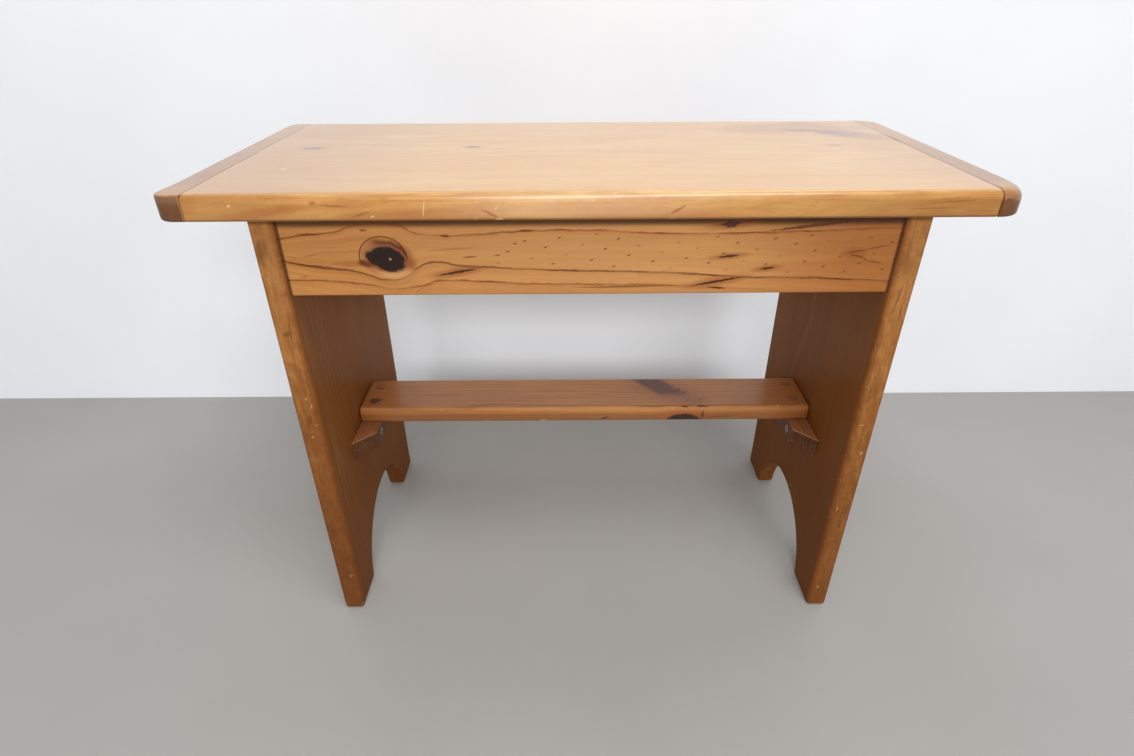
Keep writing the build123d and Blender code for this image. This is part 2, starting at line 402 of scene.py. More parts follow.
class Recipe:
    """Builds a node tree step by step; every step takes sockets or plain values and gives a socket."""

    def __init__(self, tree):
        self.tree = tree

    def add(self, kind, **settings):
        """A new node of a kind, with its settings."""
        node = self.tree.nodes.new(kind)
        for name, value in settings.items():
            setattr(node, name, value)
        return node

    def feed(self, socket, value):
        """Links another node's socket to this one, or sets a plain value on it."""
        if isinstance(value, bpy.types.NodeSocket):
            self.tree.links.new(value, socket)
        else:
            socket.default_value = value

    def math(self, operation, *terms):
        node = self.add("ShaderNodeMath", operation=operation)
        for socket, term in zip(node.inputs, terms):
            self.feed(socket, term)
        return node.outputs[0]

    def plus(self, a, b):
        return self.math("ADD", a, b)

    def minus(self, a, b):
        return self.math("SUBTRACT", a, b)

    def times(self, a, *others):
        for other in others:
            a = self.math("MULTIPLY", a, other)
        return a

    def over(self, a, b):
        return self.math("DIVIDE", a, b)

    def size(self, a):
        return self.math("ABSOLUTE", a)

    def strongest(self, a, *others):
        for other in others:
            a = self.math("MAXIMUM", a, other)
        return a

    def rise(self, value, low, high, start=0.0, stop=1.0):
        """A smooth step: start at low, stop at high; low may be the greater."""
        node = self.add("ShaderNodeMapRange", interpolation_type="SMOOTHSTEP")
        names = ("Value", "From Min", "From Max", "To Min", "To Max")
        for name, term in zip(names, (value, low, high, start, stop)):
            self.feed(node.inputs[name], term)
        return node.outputs[0]

    def vector(self, operation, *terms):
        node = self.add("ShaderNodeVectorMath", operation=operation)
        if operation == "SCALE":
            self.feed(node.inputs[0], terms[0])
            self.feed(node.inputs["Scale"], terms[1])
        else:
            for socket, term in zip(node.inputs, terms):
                self.feed(socket, term)
        return node.outputs["Value" if operation == "LENGTH" else "Vector"]

    def distance(self, a, b):
        """How far a point stands from a middle, given its two steps away from it."""
        return self.vector("LENGTH", self.joined(a, b, 0.0))

    def parts(self, vector):
        node = self.add("ShaderNodeSeparateXYZ")
        self.feed(node.inputs[0], vector)
        return node.outputs[0], node.outputs[1], node.outputs[2]

    def joined(self, x, y, z):
        node = self.add("ShaderNodeCombineXYZ")
        for socket, term in zip(node.inputs, (x, y, z)):
            self.feed(socket, term)
        return node.outputs[0]

    def noise(self, place, scale, detail=2.0, roughness=0.5, shift=(0, 0, 0), colour=False):
        """Cloudy noise at a place that is drawn out by a scale along each axis and then shifted."""
        node = self.add("ShaderNodeTexNoise", noise_dimensions="3D")
        self.feed(node.inputs["Vector"], self.vector("MULTIPLY_ADD", place, scale, shift))
        self.feed(node.inputs["Scale"], 1.0)
        self.feed(node.inputs["Detail"], detail)
        self.feed(node.inputs["Roughness"], roughness)
        return node.outputs[1 if colour else 0]

    def chance(self, place):
        """A value from 0 to 1 that is drawn anew for every different place."""
        node = self.add("ShaderNodeTexWhiteNoise", noise_dimensions="3D")
        self.feed(node.inputs["Vector"], place)
        return node.outputs["Value"]

    def blend(self, share, a, b):
        """The colour a, gone over to the colour b by a share."""
        node = self.add("ShaderNodeMix", data_type="RGBA")
        self.feed(node.inputs[0], share)
        self.feed(node.inputs[6], a)
        self.feed(node.inputs[7], b)
        return node.outputs[2]

    def turned(self, vector, angle):
        node = self.add("ShaderNodeVectorRotate", rotation_type="Z_AXIS")
        self.feed(node.inputs["Vector"], vector)
        self.feed(node.inputs["Angle"], angle)
        return node.outputs[0]

    def group(self, tree, **values):
        """Places a node group and feeds its named inputs; gives its outputs."""
        node = self.add("ShaderNodeGroup", node_tree=tree)
        for name, value in values.items():
            self.feed(node.inputs[name.replace("_", " ")], value)
        return node.outputs


def start_group(name, inputs, outputs):
    """An empty shader node group with named sockets; gives its recipe, its inputs and its output node."""
    tree = bpy.data.node_groups.new(name, "ShaderNodeTree")
    kinds = {1: "NodeSocketFloat", 3: "NodeSocketVector", 4: "NodeSocketColor"}
    for label, value in inputs.items():
        socket = tree.interface.new_socket(label, in_out="INPUT", socket_type=kinds[np.size(value)])
        socket.default_value = value
    for label, width in outputs.items():
        tree.interface.new_socket(label, in_out="OUTPUT", socket_type=kinds[width])
    recipe = Recipe(tree)
    return recipe, recipe.add("NodeGroupInput").outputs, recipe.add("NodeGroupOutput").inputs


NOWHERE = (0.0, 0.0, 0.0)
WHITE = (1.0, 1.0, 1.0, 1.0)


def pine_grain_group():
    """Growth rings in three dimensions: the distance from a wandering pith line, cut into rings whose
    colour deepens slowly and falls back at once, plus fine fibres, soft clouds and small tinted patches
    drawn out along the grain. Gives the wood's colour from five tones."""
    inputs = {"Place": NOWHERE, "Pith": NOWHERE, "Ring Width": 5.0, "Wander": 10.0, "Seed": 0.0,
              "Pale": WHITE, "Cloud": WHITE, "Tint": WHITE, "Dark": WHITE, "Streak": WHITE, "Rings": 0.5,
              "Fibres": 0.5}
    recipe, given, result = start_group("pine grain", inputs, {"Colour": 4, "Late Wood": 1, "Fibre": 1})
    place, seed = given["Place"], given["Seed"]
    shift = recipe.joined(seed, recipe.times(seed, 1.7), recipe.times(seed, 2.3))
    bend = recipe.noise(place, (0.0035, 0.011, 0.011), 2.0, 0.45, shift, True)
    bend = recipe.vector("SUBTRACT", bend, (0.5, 0.5, 0.5))
    bent = recipe.vector("ADD", place, recipe.vector("SCALE", bend, given["Wander"]))
    spoke = recipe.vector("MULTIPLY", recipe.vector("SUBTRACT", bent, given["Pith"]), (0.0, 1.0, 1.0))
    ring = recipe.over(recipe.vector("LENGTH", spoke), given["Ring Width"])
    year = recipe.noise(recipe.joined(ring, seed, 0.0), (0.21, 1.0, 0.0), 1.0)
    ring = recipe.plus(ring, recipe.times(year, 3.0))
    part = recipe.math("FRACT", ring)
    strength = recipe.chance(recipe.joined(recipe.math("FLOOR", ring), seed, 0.0))
    deepen = recipe.math("POWER", recipe.rise(part, 0.25, 0.92), 1.8)
    sudden = recipe.rise(part, 1.0, 0.93)
    late = recipe.times(deepen, sudden, recipe.plus(recipe.times(strength, 0.65), 0.35))
    broken = recipe.noise(place, (0.012, 0.07, 0.07), 3.0, 0.6, shift)
    late = recipe.times(late, recipe.rise(broken, 0.3, 0.62, 0.35, 1.0))
    fine = recipe.noise(place, (0.022, 0.85, 0.85), 3.0, 0.6, shift)
    coarse = recipe.noise(place, (0.009, 0.22, 0.22), 2.0, 0.5, shift)
    fibre = recipe.plus(recipe.times(fine, 0.6), recipe.times(coarse, 0.4))
    cloud = recipe.noise(place, (0.007, 0.024, 0.024), 3.0, 0.55, shift)
    tint = recipe.noise(place, (0.021, 0.085, 0.085), 4.0, 0.65, shift)
    colour = recipe.blend(recipe.rise(cloud, 0.3, 0.7), given["Pale"], given["Cloud"])
    colour = recipe.blend(recipe.rise(tint, 0.36, 0.64, 0.0, 0.5), colour, given["Tint"])
    colour = recipe.blend(recipe.times(late, given["Rings"]), colour, given["Dark"])
    thin = recipe.times(recipe.rise(fibre, 0.64, 0.36), given["Fibres"])
    recipe.feed(result["Colour"], recipe.blend(thin, colour, given["Streak"]))
    recipe.feed(result["Late Wood"], late)
    recipe.feed(result["Fibre"], fibre)
    return recipe.tree


def edge_figure_group():
    """Figure on a board's narrow edge: soft streaks that lean off the board's own direction, and fine
    broken dashes among them."""
    inputs = {"Along": 0.0, "Across": 0.0, "Slant": 0.0, "Seed": 0.0}
    recipe, given, result = start_group("edge figure", inputs, {"Figure": 1, "Dashes": 1})
    leaning = recipe.plus(given["Across"], recipe.times(given["Along"], given["Slant"]))
    place = recipe.joined(given["Along"], leaning, given["Seed"])
    wide = recipe.noise(place, (0.022, 0.07, 1.0), 4.0, 0.6)
    fine = recipe.noise(place, (0.06, 0.35, 1.0), 4.0, 0.65, (0, 0, 4))
    figure = recipe.plus(recipe.rise(wide, 0.42, 0.66, 0.0, 0.45), recipe.rise(fine, 0.48, 0.72, 0.0, 0.25))
    recipe.feed(result["Figure"], figure)
    level = recipe.joined(given["Along"], given["Across"], given["Seed"])
    dash = recipe.noise(level, (0.05, 0.75, 1.0), 3.0, 0.6)
    where = recipe.noise(place, (0.016, 0.09, 1.0), 2.0, 0.5, (0, 0, 9))
    dashes = recipe.times(recipe.rise(dash, 0.54, 0.68), recipe.rise(where, 0.42, 0.62))
    recipe.feed(result["Dashes"], dashes)
    return recipe.tree


def knot_group():
    """A knot: an oval about a centre with a ragged edge. Heart is the dark middle, Halo the stained wood
    round it, Reach the distance in half-widths. The place that comes out is drawn towards the knot's
    own line, which sweeps the grain round it."""
    inputs = {"Place": NOWHERE, "Centre": NOWHERE, "Length": 20.0, "Height": 12.0, "Tilt": 0.0,
              "Sweep": 0.0}
    recipe, given, result = start_group("knot", inputs, {"Place": 3, "Heart": 1, "Halo": 1, "Reach": 1})
    place = given["Place"]
    away = recipe.vector("MULTIPLY", recipe.vector("SUBTRACT", place, given["Centre"]), (1.0, 1.0, 0.0))
    half = recipe.joined(recipe.times(given["Length"], 0.5), recipe.times(given["Height"], 0.5), 1.0)
    oval = recipe.vector("DIVIDE", recipe.turned(away, recipe.times(given["Tilt"], -1.0)), half)
    distance = recipe.vector("LENGTH", oval)
    ragged = recipe.minus(recipe.noise(place, (0.22, 0.22, 0.22), 3.0, 0.6), 0.5)
    reach = recipe.plus(distance, recipe.times(ragged, 0.35))
    recipe.feed(result["Heart"], recipe.rise(reach, 1.02, 0.82))
    recipe.feed(result["Halo"], recipe.rise(reach, 1.9, 0.9))
    recipe.feed(result["Reach"], reach)
    near = recipe.math("EXPONENT", recipe.times(distance, distance, -0.16))
    pull = recipe.vector("SCALE", away, recipe.times(near, given["Sweep"]))
    pull = recipe.vector("MULTIPLY", pull, (0, 1, 0))
    recipe.feed(result["Place"], recipe.vector("SUBTRACT", place, pull))
    return recipe.tree


def mark_group():
    """A mark along the wood about a centre. Mark is a crack, dash or fleck: a pointed lens, widest in its
    middle, with a slightly ragged outline. Smudge is a soft oval of the same size."""
    inputs = {"Place": NOWHERE, "Centre": NOWHERE, "Length": 10.0, "Height": 1.5, "Tilt": 0.0}
    recipe, given, result = start_group("wood mark", inputs, {"Mark": 1, "Smudge": 1})
    away = recipe.vector("SUBTRACT", given["Place"], given["Centre"])
    away = recipe.vector("MULTIPLY", away, (1.0, 1.0, 0.0))
    along, across = recipe.parts(recipe.turned(away, recipe.times(given["Tilt"], -1.0)))[:2]
    ragged = recipe.minus(recipe.noise(given["Place"], (0.45, 0.45, 0.45), 3.0, 0.6), 0.5)
    along = recipe.over(along, recipe.times(given["Length"], 0.5))
    across = recipe.over(across, recipe.times(given["Height"], 0.5))
    long_way = recipe.times(along, along)
    lens = recipe.plus(long_way, recipe.size(recipe.plus(across, recipe.times(ragged, 1.6))))
    recipe.feed(result["Mark"], recipe.rise(lens, 1.15, 0.55))
    oval = recipe.plus(long_way, recipe.times(across, across))
    recipe.feed(result["Smudge"], recipe.rise(oval, 1.0, 0.0))
    return recipe.tree


def worn_lacquer_group():
    """Satin lacquer with use: gloss that varies in soft patches, pale chips and dark rubs on the rounded
    edges, small dents, and the wood's fibres showing faintly in relief."""
    inputs = {"Place": NOWHERE, "Colour": WHITE, "Fibre": 0.5, "Late Wood": 0.0, "Edge": 0.0,
              "Dullness": 0.35, "Seed": 0.0, "Chip": WHITE, "Rub": WHITE, "Chipping": 0.6}
    recipe, given, result = start_group("worn lacquer", inputs, {"Colour": 4, "Roughness": 1, "Height": 1})
    place, edge = given["Place"], given["Edge"]
    shift = recipe.joined(given["Seed"], recipe.times(given["Seed"], 3.1), 5.0)
    patch = recipe.noise(place, (0.013, 0.03, 0.03), 3.0, 0.6, shift)
    gloss = recipe.plus(given["Dullness"], recipe.times(recipe.minus(patch, 0.5), 0.22))
    gloss = recipe.plus(gloss, recipe.times(recipe.minus(given["Fibre"], 0.5), 0.1))
    recipe.feed(result["Roughness"], gloss)
    speck = recipe.noise(place, (0.16, 0.3, 0.3), 2.0, 0.5, shift)
    sparse = recipe.noise(place, (0.03, 0.05, 0.05), 1.0, 0.5, shift)
    chips = recipe.times(recipe.rise(speck, 0.64, 0.7), recipe.rise(sparse, 0.5, 0.62), edge)
    rub = recipe.noise(place, (0.02, 0.09, 0.09), 4.0, 0.65, shift)
    rubs = recipe.times(recipe.rise(rub, 0.4, 0.75, 0.0, 0.5), edge)
    colour = recipe.blend(rubs, given["Colour"], given["Rub"])
    colour = recipe.blend(recipe.times(chips, given["Chipping"]), colour, given["Chip"])
    recipe.feed(result["Colour"], colour)
    dent = recipe.noise(place, (0.05, 0.08, 0.08), 1.0, 0.5, shift)
    hollow = recipe.plus(recipe.rise(dent, 0.62, 0.8, 0.0, -1.5), recipe.times(chips, -3.0))
    relief = recipe.plus(recipe.times(given["Fibre"], 0.5), recipe.times(given["Late Wood"], 0.25))
    recipe.feed(result["Height"], recipe.plus(relief, hollow))
    return recipe.tree


pine_grain = pine_grain_group()
edge_figure = edge_figure_group()
knot = knot_group()
wood_mark = mark_group()
worn_lacquer = worn_lacquer_group()


class Finish(Recipe):
    """A material while it is made: its shader, the piece's own place in millimetres, which way its surface
    faces, and its colour so far."""

    def __init__(self, name):
        self.material = bpy.data.materials.new(name)
        self.material.use_nodes = True
        super().__init__(self.material.node_tree)
        self.shader = self.tree.nodes["Principled BSDF"]
        coordinates = self.add("ShaderNodeTexCoord")
        self.place = self.vector("SCALE", coordinates.outputs["Object"], 1 / MM)
        self.x, self.y, self.z = self.parts(self.place)
        self.facing_x, self.facing_y, self.facing_z = self.parts(coordinates.outputs["Normal"])
        self.front = self.rise(self.facing_y, -0.4, -0.85)
        self.above = self.rise(self.facing_z, 0.35, 0.8)
        self.edge = self.add("ShaderNodeAttribute", attribute_name="edge").outputs["Fac"]

    def along(self, order):
        """The place as (along, across, through) the board; order names the axes in that order."""
        axes = {"X": self.x, "Y": self.y, "Z": self.z}
        return self.joined(*[axes[axis] for axis in order])

    def knots(self, place, sweep, spots):
        """Sets knots, each (along, across, length, height, tilt). Gives the place swept round them all, for
        the grain to follow, and each knot's outputs."""
        seen = []
        for along, across, length, height, tilt in spots:
            seen.append(self.group(knot, Place=place, Centre=(along, across, 0), Length=length, Height=height,
                                   Tilt=tilt, Sweep=sweep))
            place = seen[-1]["Place"]
        return place, seen

    def grow(self, place, seed, pith, ring_width, wander, rings, fibres, tones):
        """Lays the grain, in the tones pale, cloud, tint, dark and streak."""
        shades = dict(zip(("Pale", "Cloud", "Tint", "Dark", "Streak"), [tone(*shade) for shade in tones]))
        self.seed = seed
        self.grain = self.group(pine_grain, Place=place, Seed=seed, Pith=pith, Ring_Width=ring_width,
                                Wander=wander, Rings=rings, Fibres=fibres, **shades)
        self.colour = self.grain["Colour"]

    def stain(self, strength, shade, *masks):
        """Lays a shade over the colour so far, as strongly as given, where all the masks meet."""
        self.colour = self.blend(self.times(strength, *masks), self.colour, tone(*shade))

    def mark(self, place, strength, shade, spots, *within, kind="Mark"):
        """Stains marks, each (along, across, length, width, tilt), within the masks given."""
        marks = [self.group(wood_mark, Place=place, Centre=(a, b, 0), Length=length, Height=width,
                            Tilt=tilt)[kind] for a, b, length, width, tilt in spots]
        self.stain(strength, shade, self.strongest(*marks), *within)

    def lacquer(self, dullness, chip, rub, chipping=0.7, coat=0.8, coat_roughness=0.16, specular=0.3):
        """Finishes the piece: wear on its edges, satin gloss, relief and a clear coat."""
        wear = self.group(worn_lacquer, Place=self.place, Colour=self.colour, Fibre=self.grain["Fibre"],
                          Late_Wood=self.grain["Late Wood"], Edge=self.edge, Dullness=dullness,
                          Seed=self.seed, Chip=tone(*chip), Rub=tone(*rub), Chipping=chipping)
        self.feed(self.shader.inputs["Base Color"], wear["Colour"])
        self.feed(self.shader.inputs["Roughness"], wear["Roughness"])
        self.relief(wear["Height"], strength=0.25, distance=0.00025)
        self.feed(self.shader.inputs["Coat Weight"], coat)
        self.shader.inputs["Coat Roughness"].default_value = coat_roughness
        self.shader.inputs["Coat IOR"].default_value = 1.5
        self.shader.inputs["Specular IOR Level"].default_value = specular
        return self.material

    def relief(self, height, strength, distance):
        """Raises the surface by a bump of a height, as strong and as many metres high as given."""
        bump = self.add("ShaderNodeBump")
        bump.inputs["Strength"].default_value = strength
        bump.inputs["Distance"].default_value = distance
        self.feed(bump.inputs["Height"], height)
        self.feed(self.shader.inputs["Normal"], bump.outputs[0])


def seat_pine():
    """The seat board: pale honey pine of low contrast, stained face by face."""
    board = Finish("honey seat pine")
    spots = ((-240, 13, 18, 10, 0.05), (-99.5, 14.5, 15, 7, 0.0), (246, 68, 40, 26, -0.4),
             (219, 13.5, 13, 5, 0.1))
    swept, knots = board.knots(board.place, 0.6, spots)
    board.grow(swept, seed=3.0, pith=(0, 25, 330), ring_width=4.6, wander=26.0, rings=0.5, fibres=0.4,
               tones=((226, 179, 103), (218, 167, 91), (219, 165, 97), (186, 127, 60), (206, 151, 80)))
    stain_seat_top(board, knots)
    stain_seat_edge(board)
    stain_seat_front(board)
    coat = board.rise(board.facing_z, 0.1, 0.9, 0.3, 1.0)
    return board.lacquer(dullness=0.38, chip=(236, 205, 160), rub=(172, 112, 58), chipping=0.3, coat=coat,
                         coat_roughness=0.2)


def stain_seat_top(board, knots):
    """The seat's top: ends darkened as painted shade, a brown cloud at the right rear, small bluish knots,
    and a dark line along the joints with the caps that fades where they are tight."""
    place, above = board.place, board.above
    # Painted shade: the seat's top darkens towards both ends.
    ends = board.rise(board.size(board.minus(board.x, 40.0)), 140.0, 300.0)
    board.stain(0.62, (180, 125, 56), ends, above)
    cloud = ((205, 96, 190, 70, 0.12), (222, 112, 80, 44, -0.2), (262, 50, 90, 40, -0.35))
    board.mark(place, 0.55, (166, 104, 54), cloud, above, kind="Smudge")
    board.mark(place, 0.4, (232, 184, 104), ((262, 110, 44, 24, 0.0),), above, kind="Smudge")
    board.stain(0.35, (168, 110, 68), board.strongest(*[one["Halo"] for one in knots]), above)
    for one, depth in zip(knots, (0.8, 0.8, 0.5, 0.6)):
        board.stain(depth, (112, 80, 76), one["Heart"], above)
    shadows = ((232, 72, 30, 28, -0.4), (214, 82, 60, 20, -0.2))
    board.mark(place, 0.65, (128, 74, 42), shadows, above, kind="Smudge")
    board.mark(place, 0.5, (246, 214, 170), ((-238, -63.5, 5, 4, 0.3),), above)
    joint = board.rise(board.size(board.x), cap_joint - 1.9, cap_joint - 1.0)
    opened = board.noise(place, (0.0, 0.03, 0.0), 2.0)
    board.stain(0.75, (92, 56, 36), joint, above, board.rise(opened, 0.35, 0.6, 0.35, 1.0))


def stain_seat_edge(board):
    """The seat's rounded front edge: fine darker and paler lines along it, and paler about the middle, partly
    as wear and partly as a painted highlight.
    """
    rounded = board.times(board.edge, board.rise(board.facing_y, 0.0, -0.3))
    lines = board.noise(board.place, (0.011, 0.8, 0.8), 3.0, 0.6)
    board.stain(0.6, (176, 108, 50), rounded, board.rise(lines, 0.5, 0.66))
    board.stain(0.45, (234, 190, 124), rounded, board.rise(lines, 0.46, 0.36))
    # Paler about the middle of the edge: partly wear, partly a painted highlight.
    rubbed_and_highlit = board.rise(board.size(board.minus(board.x, 60.0)), 190.0, 40.0)
    board.stain(0.45, (240, 204, 152), rounded, rubbed_and_highlit)


def stain_seat_front(board):
    """The seat's front: cloudy slanting figure, deeper tones low down, painted shade towards both ends and
    along its foot, a paler middle that is painted light, short dark lines and pale chips."""
    x, z, front, edge = board.x, board.z, board.front, board.along("XZY")
    figure = board.group(edge_figure, Along=x, Across=z, Slant=-0.22, Seed=3.0)
    board.stain(0.9, (166, 102, 50), front, figure["Figure"])
    board.stain(0.6, (146, 84, 38), front, figure["Dashes"])
    board.stain(0.35, (150, 90, 42), front, board.rise(z, 420.0, 414.5))
    board.stain(0.35, (192, 132, 74), front)
    # Painted shade: the right end of the front darker below its edge.
    board.stain(0.5, (146, 90, 42), front, board.rise(z, 430.0, 426.0), board.rise(x, 120.0, 240.0))
    # Painted shade: a dark line along the foot of the front.
    board.stain(0.6, (84, 44, 20), front, board.rise(z, 416.4, 414.8))
    # Painted shade: the left end of the front darker.
    board.stain(0.3, (147, 93, 51), front, board.rise(x, -180.0, -240.0))
    clouds = ((-118, 418.5, 150, 13, 0.02), (30, 419.0, 190, 12, -0.03), (-226, 421, 80, 9, 0.1))
    board.mark(edge, 0.5, (172, 98, 50), clouds, front, kind="Smudge")
    # Painted light: the middle of the front paler, below its edge.
    middle = board.rise(board.size(board.plus(x, 10.0)), 130.0, 20.0)
    board.stain(0.4, (243, 201, 157), front, middle, board.rise(z, 414.5, 420.0))
    dark_lines = ((-192, 427, 6, 3.4, 0.1), (-178, 425, 24, 1.8, -0.06), (250, 425.5, 34, 1.3, 0.06),
                  (-160, 419, 18, 2.0, 0.3), (236, 421, 40, 1.2, 0.03), (-70, 419, 16, 2.2, -0.5),
                  (60, 421, 14, 2.6, 0.5))
    board.mark(edge, 0.55, (142, 80, 36), dark_lines, front)
    pale_chips = ((-116, 423, 13, 1.3, 1.42), (-250, 425.6, 3.4, 2.0, 0.3), (-64, 415.2, 7, 1.8, 0.0),
                  (1, 428, 4, 1.4, 0.0), (-152, 417.5, 3.5, 1.4, 0.2), (-66, 423, 3, 1.4, 0.9))
    board.mark(edge, 0.6, (236, 204, 158), pale_chips, front)


def cap_pine(name, seed, end_top, end_fade):
    """An end cap: duller pine whose grain runs front to back, with brown end grain on its short ends that
    starts, unevenly, below a given height, and a pale worn line along the joint."""
    board = Finish(name)
    board.grow(board.along("YXZ"), seed, pith=(0, 190 * np.sign(seed), 395), ring_width=3.6, wander=9.0,
               rings=0.6, fibres=0.5,
               tones=((184, 134, 82), (170, 119, 70), (174, 120, 78), (140, 90, 52), (158, 106, 62)))
    board.stain(0.38, (152, 102, 50), board.above)
    board.stain(0.55, (206, 156, 84), board.above, board.rise(board.y, -80.0, 130.0))
    board.stain(0.45, (198, 144, 74), board.above, board.rise(board.y, -98.0, -132.0))
    ragged = board.minus(board.noise(board.place, (0.12, 0.05, 0.05)), 0.5)
    height = board.plus(board.z, board.times(ragged, 7.0))
    facing = board.rise(board.size(board.facing_y), 0.3, 0.6)
    ends = board.times(facing, board.rise(height, end_top + 0.6, end_top - 0.6))
    speckle = board.noise(board.place, (0.35, 0.35, 0.6), 4.0, 0.7)
    board.stain(0.6, (148, 102, 62), facing)
    board.stain(0.95, (116, 74, 44), ends)
    board.stain(0.5, (86, 52, 32), ends, board.rise(speckle, 0.35, 0.65))
    board.stain(end_fade, (148, 108, 84), ends, board.rise(board.z, end_top - 9.0, end_top))
    beside_joint = board.rise(board.size(board.x), cap_joint + 1.6, cap_joint + 0.7)
    board.stain(end_fade, (180, 130, 92), ends, beside_joint)
    coat = board.rise(board.facing_z, 0.1, 0.9, 0.15, 0.85)
    return board.lacquer(dullness=0.4, chip=(226, 190, 150), rub=(110, 66, 38), chipping=0.5, coat=coat)


def leg_pine(name, seed, pith, inner, depth, foot_shade, streaks, nicks, bruises, specks):
    """A leg: deep amber pine with its grain upright, with blotchy front and rear edges. Painted shade darkens
    its inner face and inner rim and deepens towards the foot, and painted light makes its front and rear
    edges paler near the top. Streaks of paler wood and small pale specks lie on the inner face as (y, z,
    length, width, tilt); pale nicks and dark bruises lie on the front edge as (x, z, ...)."""
    board = Finish(name)
    board.grow(board.along("ZYX"), seed, pith, ring_width=5.2, wander=22.0, rings=0.5, fibres=0.4,
               tones=((180, 124, 68), (164, 106, 52), (170, 110, 60), (128, 74, 33), (146, 90, 44)))
    inside = board.rise(board.times(board.facing_x, inner), 0.5, 0.9)
    # Painted shade: the inner face darkened.
    board.stain(depth, (124, 72, 32), inside)
    face, edge = board.along("YZX"), board.along("XZY")
    if streaks:
        board.mark(face, 0.4, (170, 120, 72), streaks, inside, kind="Smudge")
    ends = board.rise(board.size(board.facing_y), 0.5, 0.9)
    figure = board.group(edge_figure, Along=board.z, Across=board.x, Slant=0.1, Seed=seed)
    board.stain(0.2, (204, 150, 90), ends, board.rise(figure["Figure"], 0.1, 0.0))
    board.stain(0.75, (126, 72, 32), ends, figure["Figure"])
    board.stain(0.45, (110, 62, 26), ends, figure["Dashes"])
    # Painted light: the front and rear edges paler towards the top.
    board.stain(0.35, (204, 148, 92), ends, board.rise(board.z, 240.0, 400.0))
    blotch = board.noise(board.place, (0.06, 0.03, 0.035), 3.0, 0.6)
    board.stain(0.32, (112, 62, 26), ends, board.rise(blotch, 0.5, 0.68))
    mottle = board.noise(board.place, (0.25, 0.2, 0.12), 4.0, 0.65)
    board.stain(0.34, (118, 66, 30), ends, board.rise(mottle, 0.48, 0.7))
    board.stain(0.28, (204, 148, 92), ends, board.rise(mottle, 0.44, 0.3))
    scuff = board.noise(board.place, (0.6, 0.1, 0.014), 2.0)
    board.stain(0.25, (204, 152, 98), ends, board.rise(scuff, 0.58, 0.72))
    # Painted shade: every face darker towards the foot, and the front and rear edges more so.
    board.stain(0.65, (110, 62, 27), board.rise(board.z, 370.0, 0.0))
    board.stain(foot_shade, (104, 56, 30), ends, board.rise(board.z, 330.0, 60.0))
    # Painted shade: the inner rim darker.
    inner_rim = board.times(board.edge, board.rise(board.times(board.facing_x, inner), 0.1, 0.5))
    board.stain(0.3, (142, 76, 34), inner_rim)
    board.mark(edge, 0.5, (92, 52, 26), bruises, ends, kind="Smudge")
    board.mark(edge, 0.45, (214, 170, 118), nicks, ends)
    board.mark(face, 0.5, (190, 140, 92), specks, inside)
    return board.lacquer(dullness=0.38, chip=(214, 170, 116), rub=(108, 62, 27), chipping=0.6, coat=0.18,
                         coat_roughness=0.22, specular=0.0)


def traced_line(board, points):
    """The height of a grain line along the apron: a smooth curve through places read off."""
    node = board.add("ShaderNodeFloatCurve")
    curve = node.mapping.curves[0]
    places = [((x + leg_inner) / (2 * leg_inner), (z - apron_bottom) / apron_height) for x, z in points]
    curve.points[0].location = places[0]
    curve.points[1].location = places[-1]
    for x, z in places[1:-1]:
        curve.points.new(x, z)
    node.mapping.update()
    board.feed(node.inputs["Value"], board.over(board.plus(board.x, leg_inner), 2 * leg_inner))
    return board.plus(board.times(node.outputs[0], apron_height), apron_bottom)


apron_tones = ((208, 150, 84), (196, 134, 70), (198, 134, 84), (158, 92, 42), (176, 112, 54))


def rear_apron_pine():
    """The rear apron: the same orange-tan pine with plain flat-sawn figure and two small tight knots."""
    board = Finish("rear apron pine")
    spots = ((118, 388, 20, 13, 0.1), (-64, 371, 13, 8, -0.1))
    swept, knots = board.knots(board.along("XZY"), 0.7, spots)
    board.grow(swept, seed=9.0, pith=(0, 366, 60), ring_width=6.0, wander=14.0, rings=0.75, fibres=0.45,
               tones=apron_tones)
    for one in knots:
        board.stain(0.5, (150, 82, 36), one["Halo"])
        board.stain(0.85, (86, 46, 26), one["Heart"])
        board.stain(0.6, (140, 82, 46), board.rise(one["Reach"], 0.6, 0.3))
    return board.lacquer(dullness=0.4, chip=(232, 196, 146), rub=(140, 82, 38), chipping=0.6, coat=0.3,
                         specular=0.15)


